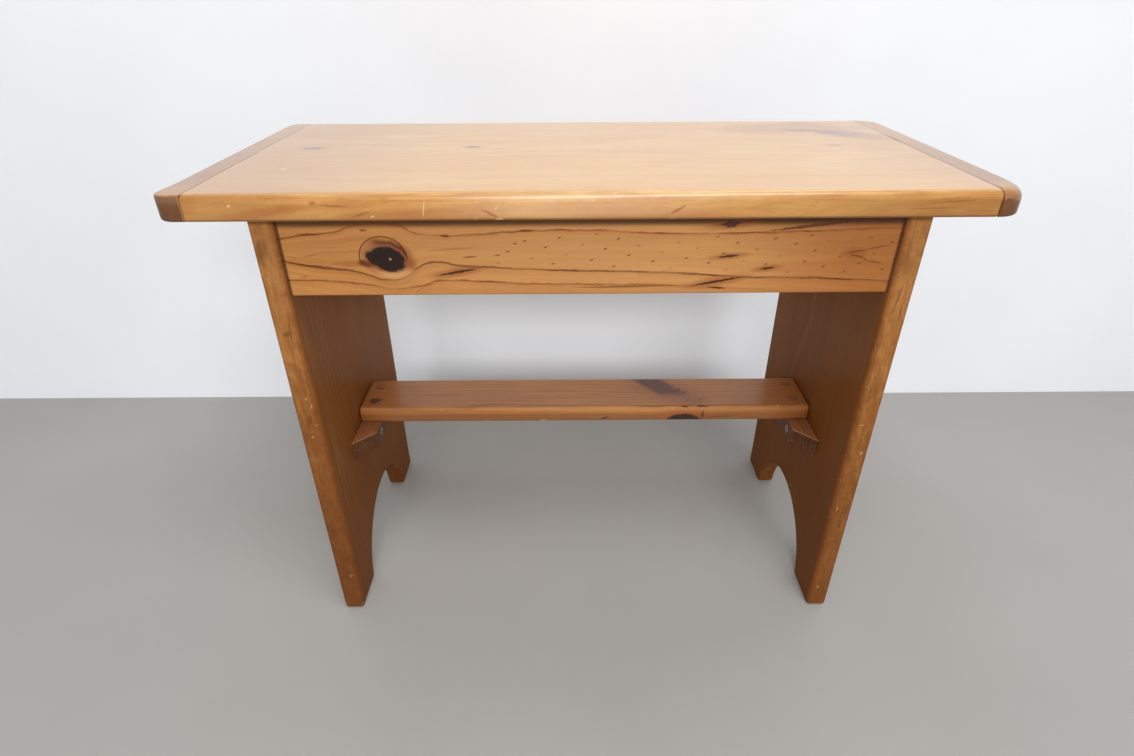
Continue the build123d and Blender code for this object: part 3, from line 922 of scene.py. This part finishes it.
def front_apron_pine():
    """The front apron: orange-tan knotty pine that follows three dark resin lines, which part round a large
    dead knot, with short cracks and a lattice of small flecks between them. The grain is grown straight
    between the two upper lines, laid flat, and bends with them."""
    board = Finish("knotty apron pine")
    spot, along, up = board.along("XZY"), board.x, board.z
    upper = traced_line(board, ((-230, 395.5), (-205, 398.8), (-187, 400.9), (-173, 404.9), (-159, 406.5),
                                (-141, 405.5), (-130, 400.1), (-115, 397.6), (-81, 398.4), (-43, 400.8),
                                (5, 400.7), (48, 398.3), (120, 398.2), (173, 399.5), (230, 402)))
    lower = traced_line(board, ((-230, 378.3), (-200, 372.8), (-181, 370.8), (-167, 366.9), (-153, 363.2),
                                (-141, 364.5), (-130, 372.5), (-115, 377), (-99, 374.2), (-63, 372),
                                (-6, 369.4), (75, 366.9), (113, 363.8), (158, 362.9), (230, 359.6)))
    lowest = traced_line(board, ((-230, 363.3), (-202, 362.6), (-166, 358.7), (-152, 356.2), (-134, 356.8),
                                 (-123, 359.3), (-113, 362.5), (-101, 362.4), (-59, 359.8), (1, 358.3),
                                 (51, 357.7), (110, 355), (230, 351)))
    above, below = board.minus(up, upper), board.minus(up, lower)
    flat_lower, flat_spread = 368.0, 32.0
    share = board.add("ShaderNodeClamp")
    board.feed(share.inputs["Value"], board.over(below, board.minus(upper, lower)))
    flow = board.plus(board.times(share.outputs[0], flat_spread), flat_lower)
    outside = board.plus(board.math("MAXIMUM", above, 0.0), board.math("MINIMUM", below, 0.0))
    flow = board.joined(along, board.plus(flow, outside), board.y)
    board.grow(flow, seed=9.0, pith=(0, 330, 40), ring_width=5.0, wander=6.0, rings=0.45, fibres=0.55,
               tones=apron_tones)
    # Painted light and shade: a paler middle and a darker right end.
    board.mark(spot, 0.35, (230, 176, 116), ((10, 384, 420, 90, 0.0),), kind="Smudge")
    board.stain(0.62, (156, 88, 36), board.rise(along, 90.0, 230.0))
    # Painted shadow: a dark band along the apron's top under the seat's overhang, taller towards the right.
    board.stain(0.74, (58, 29, 11), board.rise(up, 402.0, 406.5))
    board.stain(0.38, (66, 34, 14), board.rise(up, 399.0, 406.0), board.rise(along, 20.0, 200.0))
    draw_resin_lines(board, spot, above, below, board.minus(up, lowest))
    draw_dead_knot(board, spot)
    draw_cracks(board, spot)
    draw_flecks(board, above, below)
    board.stain(0.85, (54, 27, 13), board.rise(board.size(along), 227.2, 229.0))
    return board.lacquer(dullness=0.4, chip=(232, 196, 146), rub=(140, 82, 38), coat=0.3, specular=0.15)


def draw_resin_lines(board, spot, off_upper, off_lower, off_lowest):
    """Three dark lines, given by the height above each. They tremble, swell and thin along their length and
    have a soft tint below them; the lowest fades out to the right."""
    slow = board.minus(board.noise(spot, (0.05, 0.1, 0.0), 3.0, 0.6), 0.5)
    quick = board.minus(board.noise(spot, (0.3, 0.5, 0.0), 2.0, 0.6), 0.5)
    tremble = board.plus(board.times(slow, 3.0), board.times(quick, 1.3))
    fade = board.rise(board.x, 120.0, 10.0)
    lines = ((off_upper, 1.15, 4.0, 0.25, (124, 62, 26), 1.0), (off_lower, 1.25, 7.0, 0.4, (92, 44, 18), 1.0),
             (off_lowest, 1.1, 11.0, 0.3, (124, 62, 26), fade))
    for off, width, seed, least, shade, length in lines:
        gap = board.plus(off, tremble)
        board.stain(0.25, (164, 96, 42), board.rise(gap, -6.0, -0.2), board.rise(gap, 0.6, -0.2))
        wave = board.noise(board.joined(board.x, seed, 0.0), (0.03, 1.0, 0.0), 3.0, 0.6)
        swell = board.rise(wave, 0.32, 0.66, least, 1.0)
        board.stain(0.88, shade, board.rise(board.size(gap), width, 0.25 * width), swell, length)


def draw_dead_knot(board, spot):
    """The large knot: a black oval with a lobe on its left and a pale dot in its middle, inside a wider oval
    with a thin dark outline, reddened on the right and pale below."""
    along, up = board.x, board.z
    knot_x, knot_z = -151.0, 379.4
    dead = board.group(knot, Place=spot, Centre=(knot_x, knot_z, 0), Length=26.4, Height=19.0, Tilt=-0.35)
    lobe = board.group(knot, Place=spot, Centre=(-161.5, 380, 0), Length=14, Height=9, Tilt=-0.75)
    dead, lobe = dead["Reach"], lobe["Reach"]
    east, north = board.minus(along, knot_x), board.minus(up, knot_z)
    outer_x, outer_z = board.plus(along, 154.5), board.minus(up, 381.0)
    outer = board.distance(board.over(outer_x, 17.6), board.over(outer_z, 16.0))
    upper_right = board.rise(board.plus(board.times(east, 0.5), board.times(north, 0.86)), 2.0, 9.0)
    rightward = board.rise(board.plus(board.times(east, 0.9), board.times(north, 0.3)), 4.0, 14.0)
    board.stain(0.8, (140, 68, 34), board.rise(dead, 1.9, 1.2), rightward)
    board.stain(0.75, (222, 170, 112), board.rise(dead, 1.9, 1.0), board.rise(north, -5.0, -11.0))
    board.stain(0.5, (156, 98, 62), board.rise(outer, 1.0, 0.85), board.rise(east, 0.0, -14.0))
    board.stain(0.85, (96, 40, 24), board.rise(outer, 1.06, 0.99), upper_right, board.rise(dead, 1.75, 1.3))
    board.mark(spot, 0.5, (160, 88, 40), ((-180, 376.2, 36, 6, 0.0),), kind="Smudge")
    red_bark = ((-170, 376.8, 10, 7, 0.0), (-165.6, 375.7, 14, 7, 0.0))
    board.mark(spot, 0.85, (92, 40, 26), red_bark, kind="Smudge")
    board.mark(spot, 0.7, (160, 78, 28), ((-159.5, 373.4, 18, 6, -0.55),), kind="Smudge")
    circle = board.rise(board.size(board.minus(outer, 1.0)), 0.05, 0.012)
    board.stain(0.85, (98, 48, 18), circle, board.rise(up, 374.0, 379.0))
    singed = board.strongest(board.rise(dead, 1.3, 0.85), board.rise(lobe, 1.4, 0.8))
    board.stain(0.6, (88, 40, 24), singed)
    black = board.strongest(board.rise(dead, 1.08, 0.88), board.rise(lobe, 1.1, 0.75))
    board.stain(0.98, (36, 23, 18), black)
    ash = board.noise(spot, (0.5, 0.5, 0.5), 3.0, 0.7)
    board.stain(0.3, (66, 46, 36), board.rise(dead, 1.02, 0.82), board.rise(ash, 0.5, 0.75))
    rim = board.rise(board.size(board.minus(dead, 1.1)), 0.07, 0.02)
    board.stain(0.6, (168, 112, 86), rim, upper_right)
    dot = board.distance(board.plus(along, 149.3), board.minus(up, 379.5))
    board.stain(0.9, (196, 150, 116), board.rise(dot, 1.3, 0.5))


def draw_cracks(board, spot):
    """Short cracks and dashes along the apron's grain, the deepest ones in a reddish haze."""
    haze = ((-100, 368.9, 56, 10, 0.17), (97.5, 360.2, 66, 11, 0.18), (103, 404.5, 50, 9, 0.09),
            (104, 380.2, 42, 7, 0.09), (134, 370.5, 30, 7, 0.14), (197, 381.6, 24, 12, 0.0))
    board.mark(spot, 0.55, (150, 80, 34), haze, kind="Smudge")
    cracks = ((-100, 368.9, 36, 2.4, 0.17), (97.5, 360.2, 49, 2.3, 0.18), (97.5, 355, 17, 1.9, -0.07),
              (134, 370.5, 13, 2.3, 0.14), (104, 380.2, 19, 2.2, 0.09))
    board.mark(spot, 0.9, (56, 30, 18), cracks)
    board.mark(spot, 0.85, (66, 34, 34), ((103, 404.8, 16, 6.0, 0.09),))
    board.mark(spot, 0.7, (84, 42, 30), ((106, 405.6, 34, 2.2, 0.1),))
    dashes = ((-166, 401.8, 7, 2.6, 0.0), (-107, 397.2, 8, 3.0, 0.0), (-207, 398.8, 22, 2.4, 0.02),
              (-202, 373.6, 52, 2.4, -0.13), (-47, 400.8, 15, 2.4, 0.0), (200, 383.6, 18, 1.8, 0.14),
              (214, 386.4, 26, 1.3, 0.2), (200.5, 379.6, 15, 1.8, -0.25), (206.5, 377.4, 5, 1.4, -0.8),
              (213, 375.2, 16, 1.4, -0.18), (30, 356.5, 90, 1.8, 0.02), (-90, 380.9, 13, 1.6, 0.08),
              (-69, 382.1, 5, 1.4, 0.0), (-55.6, 391, 4, 1.6, 0.0), (-46, 400.8, 10, 1.8, 0.1))
    board.mark(spot, 0.7, (112, 56, 26), dashes)
    board.mark(spot, 0.85, (88, 44, 22), ((164, 403.4, 76, 2.8, 0.12),))
    faint = ((-102, 387.2, 44, 1.6, 0.06), (-216.5, 365.6, 7, 3, 0.4), (-209, 382.6, 16, 1.4, 0.2))
    board.mark(spot, 0.3, (124, 66, 32), faint)


def draw_flecks(board, above, below):
    """A slanting lattice of flecks between the two upper resin lines. Column and row count its steps, each
    about (16.9, -4.8) and (10.0, 7.9) along and up; chance pushes every fleck a little off its place and
    makes some of them faint."""
    away_x, away_z = board.minus(board.x, 1.1), board.minus(board.z, 378.0)
    column = board.minus(board.times(away_x, 0.0435), board.times(away_z, 0.0548))
    row = board.plus(board.times(away_x, 0.0265), board.times(away_z, 0.0925))
    cell = board.joined(board.math("ROUND", column), board.math("ROUND", row), 0.0)
    luck = board.chance(cell)
    second_luck = board.math("FRACT", board.times(luck, 7.3))
    push_column = board.times(board.minus(luck, 0.5), 0.2)
    push_row = board.times(board.minus(second_luck, 0.5), 0.2)
    near = board.vector("SUBTRACT", board.joined(column, row, 0.0), cell)
    step_x, step_z = board.parts(board.vector("SUBTRACT", near, board.joined(push_column, push_row, 0.0)))[:2]
    off_x = board.plus(board.times(step_x, 16.9), board.times(step_z, 10.0))
    off_z = board.plus(board.times(step_x, -4.8), board.times(step_z, 7.9))
    lean = board.minus(off_z, board.times(off_x, 0.27))
    fleck = board.rise(board.distance(board.over(off_x, 1.6), board.over(lean, 0.7)), 1.2, 0.5)
    within = board.times(board.rise(below, 1.0, 4.0), board.rise(above, -1.0, -3.0))
    strength = board.rise(second_luck, 0.0, 0.5, 0.3, 0.8)
    board.stain(strength, (104, 52, 24), fleck, board.rise(board.x, -80.0, -60.0), within)


def stretcher_pine():
    """The stretcher: reddish-brown pine with a purple-brown streak slanting across its top into a half
    knot on its front edge, and dark rings round its four plugs. Painted shade darkens its front low down and
    along its bottom edge; its upper front edge is paler, partly as wear and partly as a painted highlight."""
    board = Finish("russet stretcher pine")
    board.grow(board.place, seed=14.0, pith=(0, -60, 120), ring_width=3.4, wander=10.0, rings=0.6, fibres=0.5,
               tones=((216, 152, 84), (200, 134, 70), (202, 130, 72), (148, 88, 42), (174, 110, 58)))
    top, edge, above, front = board.place, board.along("XZY"), board.above, board.front
    board.mark(top, 0.35, (150, 78, 38), ((88, 0, 150, 70, -0.75),), above, kind="Smudge")
    board.mark(top, 0.5, (196, 104, 50), ((95, -24, 36, 14, 0.0),), above, kind="Smudge")
    board.stain(0.3, (120, 66, 38), above, board.rise(board.x, -130.0, -215.0))
    board.stain(0.85, (88, 42, 36), feathered_streak(board), above)
    board.mark(top, 0.45, (96, 50, 24), ((-150, -4, 60, 1.8, 0.02),), above)
    # Painted shade: the front darker low down, with a dark line along its bottom edge.
    board.stain(0.55, (112, 58, 24), front, board.rise(board.z, 181.0, 177.0))
    board.stain(0.6, (62, 32, 18), board.rise(board.facing_y, -0.3, -0.6), board.rise(board.z, 171.2, 169.3))
    # The upper front edge paler: partly wear, partly a painted highlight.
    highlit_brow = board.times(board.rise(board.facing_y, -0.2, -0.5), board.rise(board.facing_z, 0.15, 0.45))
    board.stain(0.45, (222, 166, 114), board.edge, highlit_brow)
    rim_cracks = ((102.5, -27.4, 9, 1.8, 0.0), (120.5, -27.4, 14, 1.6, 0.0))
    board.mark(top, 0.85, (40, 22, 18), rim_cracks, above)
    board.mark(top, 0.6, (84, 44, 22), ((-97, -22.8, 62, 2.2, 0.04), (71, -27.2, 28, 1.2, 0.0)), above)
    half_knot = board.group(knot, Place=edge, Centre=(102, 167.6, 0), Length=39, Height=22)
    board.stain(0.55, (170, 88, 38), half_knot["Halo"], front)
    board.stain(0.97, (42, 25, 20), half_knot["Heart"], front)
    board.mark(edge, 0.75, (70, 36, 26), ((121, 176, 12, 4, 1.5),), front)
    board.mark(edge, 0.5, (110, 56, 30), ((140, 174, 46, 3.0, 0.05),), front)
    board.mark(edge, 0.8, (64, 32, 18), ((21, 173.4, 12, 2.0, 0.2),), front)
    board.mark(edge, 0.8, (232, 196, 150), ((-42, 170.5, 9, 2.4, 0.0),), front)
    off_x, off_y = board.minus(board.size(board.x), plug_x), board.minus(board.size(board.y), plug_y)
    ring = board.size(board.minus(board.distance(off_x, off_y), plug_radius))
    board.stain(0.45, (74, 44, 28), board.rise(ring, 1.2, 0.2), above)
    board.mark(top, 0.5, (72, 52, 46), ((-214, -13.2, 16, 7, 0.25),), above)
    board.stain(0.3, (70, 36, 18), board.rise(board.size(board.x), 226.5, 228.8))
    board.stain(0.35, (136, 78, 38), front, board.rise(board.size(board.minus(board.x, 10.0)), 60.0, 220.0))
    board.stain(0.42, (136, 78, 38), above, board.rise(board.x, 110.0, 200.0))
    return board.lacquer(dullness=0.36, chip=(220, 168, 112), rub=(112, 58, 26), coat=0.5)


def feathered_streak(board):
    """Where the streak on the stretcher's top lies: a band that slants with y, ragged on its right side and
    gone at the front edge, where barbs like a feather's take over."""
    barb = board.plus(board.times(board.x, 0.77), board.times(board.y, 0.64))
    between = board.minus(board.times(board.y, 0.77), board.times(board.x, 0.64))
    hatch = board.noise(board.joined(barb, between, 0.0), (0.03, 0.42, 0.0), 2.0, 0.6)
    off = board.minus(board.x, board.minus(90.0, board.times(board.y, 0.8)))
    feather = board.times(board.minus(hatch, 0.5), board.rise(board.y, 20.0, -10.0, 10.0, 60.0))
    band = board.times(board.rise(off, -21.0, -11.0), board.rise(board.plus(off, feather), 19.0, 9.0))
    band = board.times(band, board.rise(board.y, -16.0, 2.0))
    barbs = board.times(board.rise(off, -16.0, 4.0), board.rise(off, 34.0, 14.0))
    barbs = board.times(board.rise(hatch, 0.46, 0.62), barbs, board.rise(board.y, 6.0, -8.0), 0.55)
    return board.strongest(band, barbs)


def cleat_pine(name, seed, comb):
    """A cleat: reddish pine with its sides darkened by painted shade, dark end grain with upright saw lines
    on its two bevelled ends and a painted highlight along their upper edges."""
    board = Finish(name)
    board.grow(board.along("YXZ"), seed, pith=(0, 160, 60), ring_width=3.0, wander=6.0, rings=0.6, fibres=0.5,
               tones=((174, 116, 78), (156, 99, 64), (164, 104, 70), (118, 68, 42), (140, 86, 54)))
    bevel = board.rise(board.size(board.facing_y), 0.35, 0.6)
    # Painted shade: the sides darkened.
    board.stain(0.7, (84, 50, 31), board.rise(board.size(board.facing_x), 0.8, 0.95))
    teeth = board.noise(board.place, (1.0, 1.0, 0.03), 1.0)
    board.stain(0.92, (92, 56, 31), bevel)
    board.stain(comb, (52, 30, 18), bevel, board.rise(teeth, 0.42, 0.58))
    # Painted highlight: a pale line along the upper edge of each bevel.
    highlit_top = board.rise(board.z, stretcher_bottom - 1.1, stretcher_bottom - 0.6)
    board.stain(0.8, (196, 140, 104), bevel, highlit_top)
    return board.lacquer(dullness=0.45, chip=(206, 158, 118), rub=(136, 86, 58), coat=0.08, specular=0.12)


def bare_pine(name, seed, order, pith):
    """Bare planed wood that is hidden in use: the battens and the dowels."""
    board = Finish(name)
    board.grow(board.along(order), seed, pith, ring_width=3.2, wander=6.0, rings=0.6, fibres=0.5,
               tones=((206, 164, 112), (196, 150, 98), (202, 156, 110), (164, 112, 64), (184, 138, 88)))
    return board.lacquer(dullness=0.55, chip=(206, 164, 112), rub=(164, 112, 64), coat=0.1)


def plug_wood():
    """The plugs over the stretcher's screws: greyish-brown end grain; the left rear one has taken the
    board's colour, with a dark lip on its front side that is painted shade, and the left front one is stained
    dark."""
    plugs = Finish("stained plug wood")
    plugs.grow(plugs.place, seed=18.0, pith=(0, 40, 160), ring_width=1.8, wander=3.0, rings=0.6, fibres=0.5,
               tones=((150, 102, 70), (136, 92, 64), (138, 94, 70), (100, 64, 44), (120, 78, 54)))
    left, rear = plugs.rise(plugs.x, 100.0, -100.0), plugs.rise(plugs.y, -3.0, 3.0)
    plugs.stain(0.85, (170, 112, 70), left, rear)
    # Painted shade: a dark lip on the front side of the left rear plug.
    plugs.stain(0.85, (74, 44, 30), left, rear, plugs.rise(plugs.y, plug_y - 1.5, plug_y - 3.6))
    plugs.stain(0.8, (78, 62, 58), left, plugs.minus(1.0, rear))
    plugs.stain(0.35, (160, 104, 64), plugs.minus(1.0, left))
    return plugs.lacquer(dullness=0.45, chip=(160, 116, 84), rub=(84, 56, 40), coat=0.5)


def screw_steel():
    """Zinc-plated steel: fine turned lines, and dull patches that are a little brown."""
    steel = Finish("zinc screw steel")
    patch = steel.noise(steel.place, (0.7, 0.7, 0.7), 4.0, 0.6)
    lines = steel.noise(steel.place, (6.0, 1.0, 6.0))
    colour = steel.blend(steel.rise(patch, 0.35, 0.7), tone(206, 198, 182), tone(156, 138, 110))
    steel.feed(steel.shader.inputs["Base Color"], colour)
    steel.feed(steel.shader.inputs["Roughness"], steel.rise(patch, 0.3, 0.7, 0.28, 0.5))
    steel.feed(steel.shader.inputs["Metallic"], steel.rise(patch, 0.6, 0.85, 1.0, 0.6))
    steel.relief(lines, strength=0.15, distance=0.0001)
    return steel.material


# The bench

seat_corners = (-seat_half_depth, seat_bottom), (seat_half_depth, seat_top)
seat_outline = rounded_outline(*seat_corners, seat_rounds, board_step)
sat_on_outline = rounded_outline(*seat_corners, sat_on_rounds, board_step)
sat_on_middle = -60.0
sat_on_reach = 150.0
make_board("seat_board", seat_outline, (-cap_joint, cap_joint), end_round=joint_round, order="XYZ",
           depth=0.15, seed=1, material=seat_pine(),
           wear=(sat_on_outline, sat_on_middle, sat_on_reach))
make_cap("left_end_cap", -1, corner_rounds=(13, 16), top_rounds=(5.5, 2.2), gaps=(), seed=2,
         material=cap_pine("left cap pine", seed=-4.0, end_top=432.0, end_fade=0.7))
make_cap("right_end_cap", 1, corner_rounds=(20, 21), top_rounds=(5.5, 9.0),
         gaps=((-138, 1.2, 16), (38, 1.2, 13)), seed=3,
         material=cap_pine("right cap pine", seed=5.0, end_top=426.0, end_fade=0.15))

# The right leg's inner face takes more painted shade, and the left leg's front and rear edges more towards
# the foot.
left_leg_pine = leg_pine(
    "left leg pine", seed=6.0, pith=(0, -160, -330), inner=1, depth=0.28, foot_shade=0.4, streaks=(),
    nicks=((-237, 257.5, 4, 2.2, 1.2), (-234, 249.8, 5, 1.8, 1.4), (-239, 218.3, 4, 2.4, 0.4),
           (-248, 104.6, 5, 2.0, 1.5), (-235, 47, 4, 2.4, 0.8)),
    bruises=((-239, 318.7, 12, 6, 0.4), (-243, 388, 22, 12, 1.2), (-236, 322, 44, 2, 1.5),
             (-238, 236, 14, 5, 1.4)),
    specks=((-118, 180, 4, 2, 0.3), (-105, 172.5, 5, 2, 0.5)))
right_leg_pine = leg_pine(
    "right leg pine", seed=7.0, pith=(0, 40, 150), inner=-1, depth=0.45, foot_shade=0.05,
    streaks=((22, 235, 130, 16, 1.9), (12, 300, 90, 10, 1.75)),
    nicks=((237, 227, 5, 2.0, 0.2), (243, 197, 5, 3.4, 1.3), (237, 27, 4, 2.4, 0.5), (235, 132, 7, 1.6, 1.5)),
    bruises=((238, 345, 34, 2.4, 1.45), (243, 334, 20, 1.8, 1.6), (236, 262, 16, 2.0, 1.5),
             (241, 110, 12, 2.4, 1.4)),
    specks=((-23, 77, 5, 2.4, 0.6), (-70, 29, 6, 2.0, 1.3)))
make_leg("left_leg", -1, left_leg_pine, seed=4)
make_leg("right_leg", 1, right_leg_pine, seed=5)

apron_rounds = (apron_round, hidden_round, hidden_round, apron_round)
aprons = (("front_apron", -1, front_apron_pine(), 6), ("rear_apron", 1, rear_apron_pine(), 7))
for node, side, material, seed in aprons:
    near, far = sorted((side * apron_front, side * apron_back))
    outline = rounded_outline((near, apron_bottom), (far, seat_bottom), apron_rounds, board_step)
    make_board(node, outline, (-leg_inner, leg_inner), end_round=0.2, order="XYZ", depth=0.15, seed=seed,
               material=material)

stretcher_outline = rounded_outline((-stretcher_half_depth, stretcher_bottom),
                                    (stretcher_half_depth, stretcher_top), 4 * (stretcher_round,), fine_step)
make_board("stretcher", stretcher_outline, (-stretcher_end, stretcher_end), end_round=0.6, order="XYZ",
           depth=0.12, seed=8, material=stretcher_pine())
make_plugs(plug_wood())
make_cleat("left_stretcher_cleat", -1, cleat_pine("left cleat pine", seed=15.0, comb=0.3), seed=9)
make_cleat("right_stretcher_cleat", 1, cleat_pine("right cleat pine", seed=16.0, comb=0.7), seed=10)

batten_rounds = (batten_round, hidden_round, hidden_round, batten_round)
batten_pine = bare_pine("bare batten pine", seed=17.0, order="YZX", pith=(0, 330, 120))
for side, node in ((-1, "left_seat_batten"), (1, "right_seat_batten")):
    near, far = sorted((side * batten_inner, side * leg_inner))
    outline = rounded_outline((near, batten_bottom), (far, seat_bottom), batten_rounds, board_step)
    make_board(node, outline, (-batten_half_length, batten_half_length), end_round=0.5, order="YXZ",
               depth=0.1, seed=11, material=batten_pine)

dowel_wood = bare_pine("turned dowel wood", seed=19.0, order="XYZ", pith=(0, 60, 300))
steel = screw_steel()
kept_nodes = {"apron_dowels": dowel_wood, "cleat_screws": steel, "batten_leg_screws": steel,
              "batten_seat_screws": steel, "stretcher_screws": steel}
for node, material in kept_nodes.items():
    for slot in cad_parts[node].material_slots:
        slot.material = material


# Room, light and camera

def room_material(name, colour, glow):
    """A matt painted surface with faint clouds that is seen from its front only. A glow lifts it, more with
    the distance from the bench, where the camera or a reflection looks at it, and lights nothing."""
    near_bench, far_off, far_glow = 1300.0, 4500.0, 0.6
    paint = Finish(name)
    soft = paint.noise(paint.place, (0.004, 0.004, 0.004), 3.0)
    paint.colour = tone(*colour)
    paint.stain(1.0, [0.98 * level for level in colour], paint.rise(soft, 0.3, 0.7))
    paint.feed(paint.shader.inputs["Base Color"], paint.colour)
    paint.shader.inputs["Roughness"].default_value = 0.85
    paint.shader.inputs["Specular IOR Level"].default_value = 0.15
    path = paint.add("ShaderNodeLightPath")
    lifted = paint.add("ShaderNodeEmission")
    looked_at = paint.strongest(path.outputs["Is Camera Ray"], path.outputs["Is Glossy Ray"])
    lift = paint.rise(paint.distance(paint.x, paint.y), near_bench, far_off, glow, far_glow)
    paint.feed(lifted.inputs["Strength"], paint.times(looked_at, lift))
    both = paint.add("ShaderNodeAddShader")
    paint.feed(both.inputs[0], paint.shader.outputs[0])
    paint.feed(both.inputs[1], lifted.outputs[0])
    either = paint.add("ShaderNodeMixShader")
    paint.feed(either.inputs[0], paint.add("ShaderNodeNewGeometry").outputs["Backfacing"])
    paint.feed(either.inputs[1], both.outputs[0])
    paint.feed(either.inputs[2], paint.add("ShaderNodeBsdfTransparent").outputs[0])
    paint.feed(paint.tree.nodes["Material Output"].inputs["Surface"], either.outputs[0])
    return paint.material


def make_stage(name, corners, material):
    """One flat face, given by its corners."""
    mesh = bpy.data.meshes.new(name)
    mesh.from_pydata((np.array(corners) * MM).tolist(), [], [(0, 1, 2, 3)])
    mesh.materials.append(material)
    piece = bpy.data.objects.new(name, mesh)
    bpy.context.collection.objects.link(piece)


# The floor lies just below the feet.
room = 6000.0
wall_y = 290.0
wall_height = 2400.0
floor_z = -0.4
floor_corners = ((-room, -room, floor_z), (room, -room, floor_z), (room, room, floor_z),
                 (-room, room, floor_z))
make_stage("floor", floor_corners, room_material("pale floor", (178, 176, 172), glow=0.0))
wall_corners = ((-room, wall_y, 0.0), (room, wall_y, 0.0), (room, wall_y, wall_height),
                (-room, wall_y, wall_height))
make_stage("back_wall", wall_corners, room_material("white wall", (238, 241, 246), glow=0.1))

world = bpy.data.worlds.new("soft room")
bpy.context.scene.world = world
world.use_nodes = True
air = Recipe(world.node_tree)
sky = world.node_tree.nodes["Background"]
sky.inputs["Color"].default_value = WHITE
sky_light = 0.3
sky_seen = 0.8
looked_at = air.add("ShaderNodeLightPath").outputs["Is Camera Ray"]
air.feed(sky.inputs["Strength"], air.rise(looked_at, 0.0, 1.0, sky_light, sky_seen))


def soft_lamp(name, place, target, width, height, power):
    """A rectangular lamp, in metres and watts, that faces its target."""
    lamp = bpy.data.lights.new(name, "AREA")
    lamp.shape = "RECTANGLE"
    lamp.size = width
    lamp.size_y = height
    lamp.energy = power
    holder = bpy.data.objects.new(name, lamp)
    holder.location = place
    holder.rotation_euler = (Vector(target) - Vector(place)).to_track_quat("-Z", "Y").to_euler()
    bpy.context.collection.objects.link(holder)
    return holder


bench_middle = (0.0, 0.0, 0.3)
soft_lamp("ceiling lamp", (0.25, -0.75, 2.1), bench_middle, width=1.2, height=0.6, power=17.0)
front_lamp = soft_lamp("front lamp", (0.25, -3.0, 1.75), bench_middle, width=2.4, height=0.45, power=62.0)
front_lamp.visible_glossy = False

# The camera's place, turn and lens are fitted to edges of the boards in the photograph.
camera_place = (-0.0179, -0.5888, 0.5542)
camera_lens = 20.877
pitch, yaw, roll = np.radians([30.765, 0.04, 0.35])
ahead = Vector((np.sin(yaw) * np.cos(pitch), np.cos(yaw) * np.cos(pitch), -np.sin(pitch)))
level_right = Vector((np.cos(yaw), -np.sin(yaw), 0.0))
level_down = ahead.cross(level_right)
right = level_right * np.cos(roll) + level_down * np.sin(roll)
down = level_down * np.cos(roll) - level_right * np.sin(roll)
camera = bpy.data.cameras.new("photo view")
camera.sensor_width = 36.0
camera.lens = camera_lens
viewer = bpy.data.objects.new("photo view", camera)
stand = Matrix((right, -down, -ahead)).transposed().to_4x4()
stand.translation = camera_place
viewer.matrix_world = stand
bpy.context.collection.objects.link(viewer)
bpy.context.scene.camera = viewer
bpy.context.scene.view_settings.view_transform = "Standard"
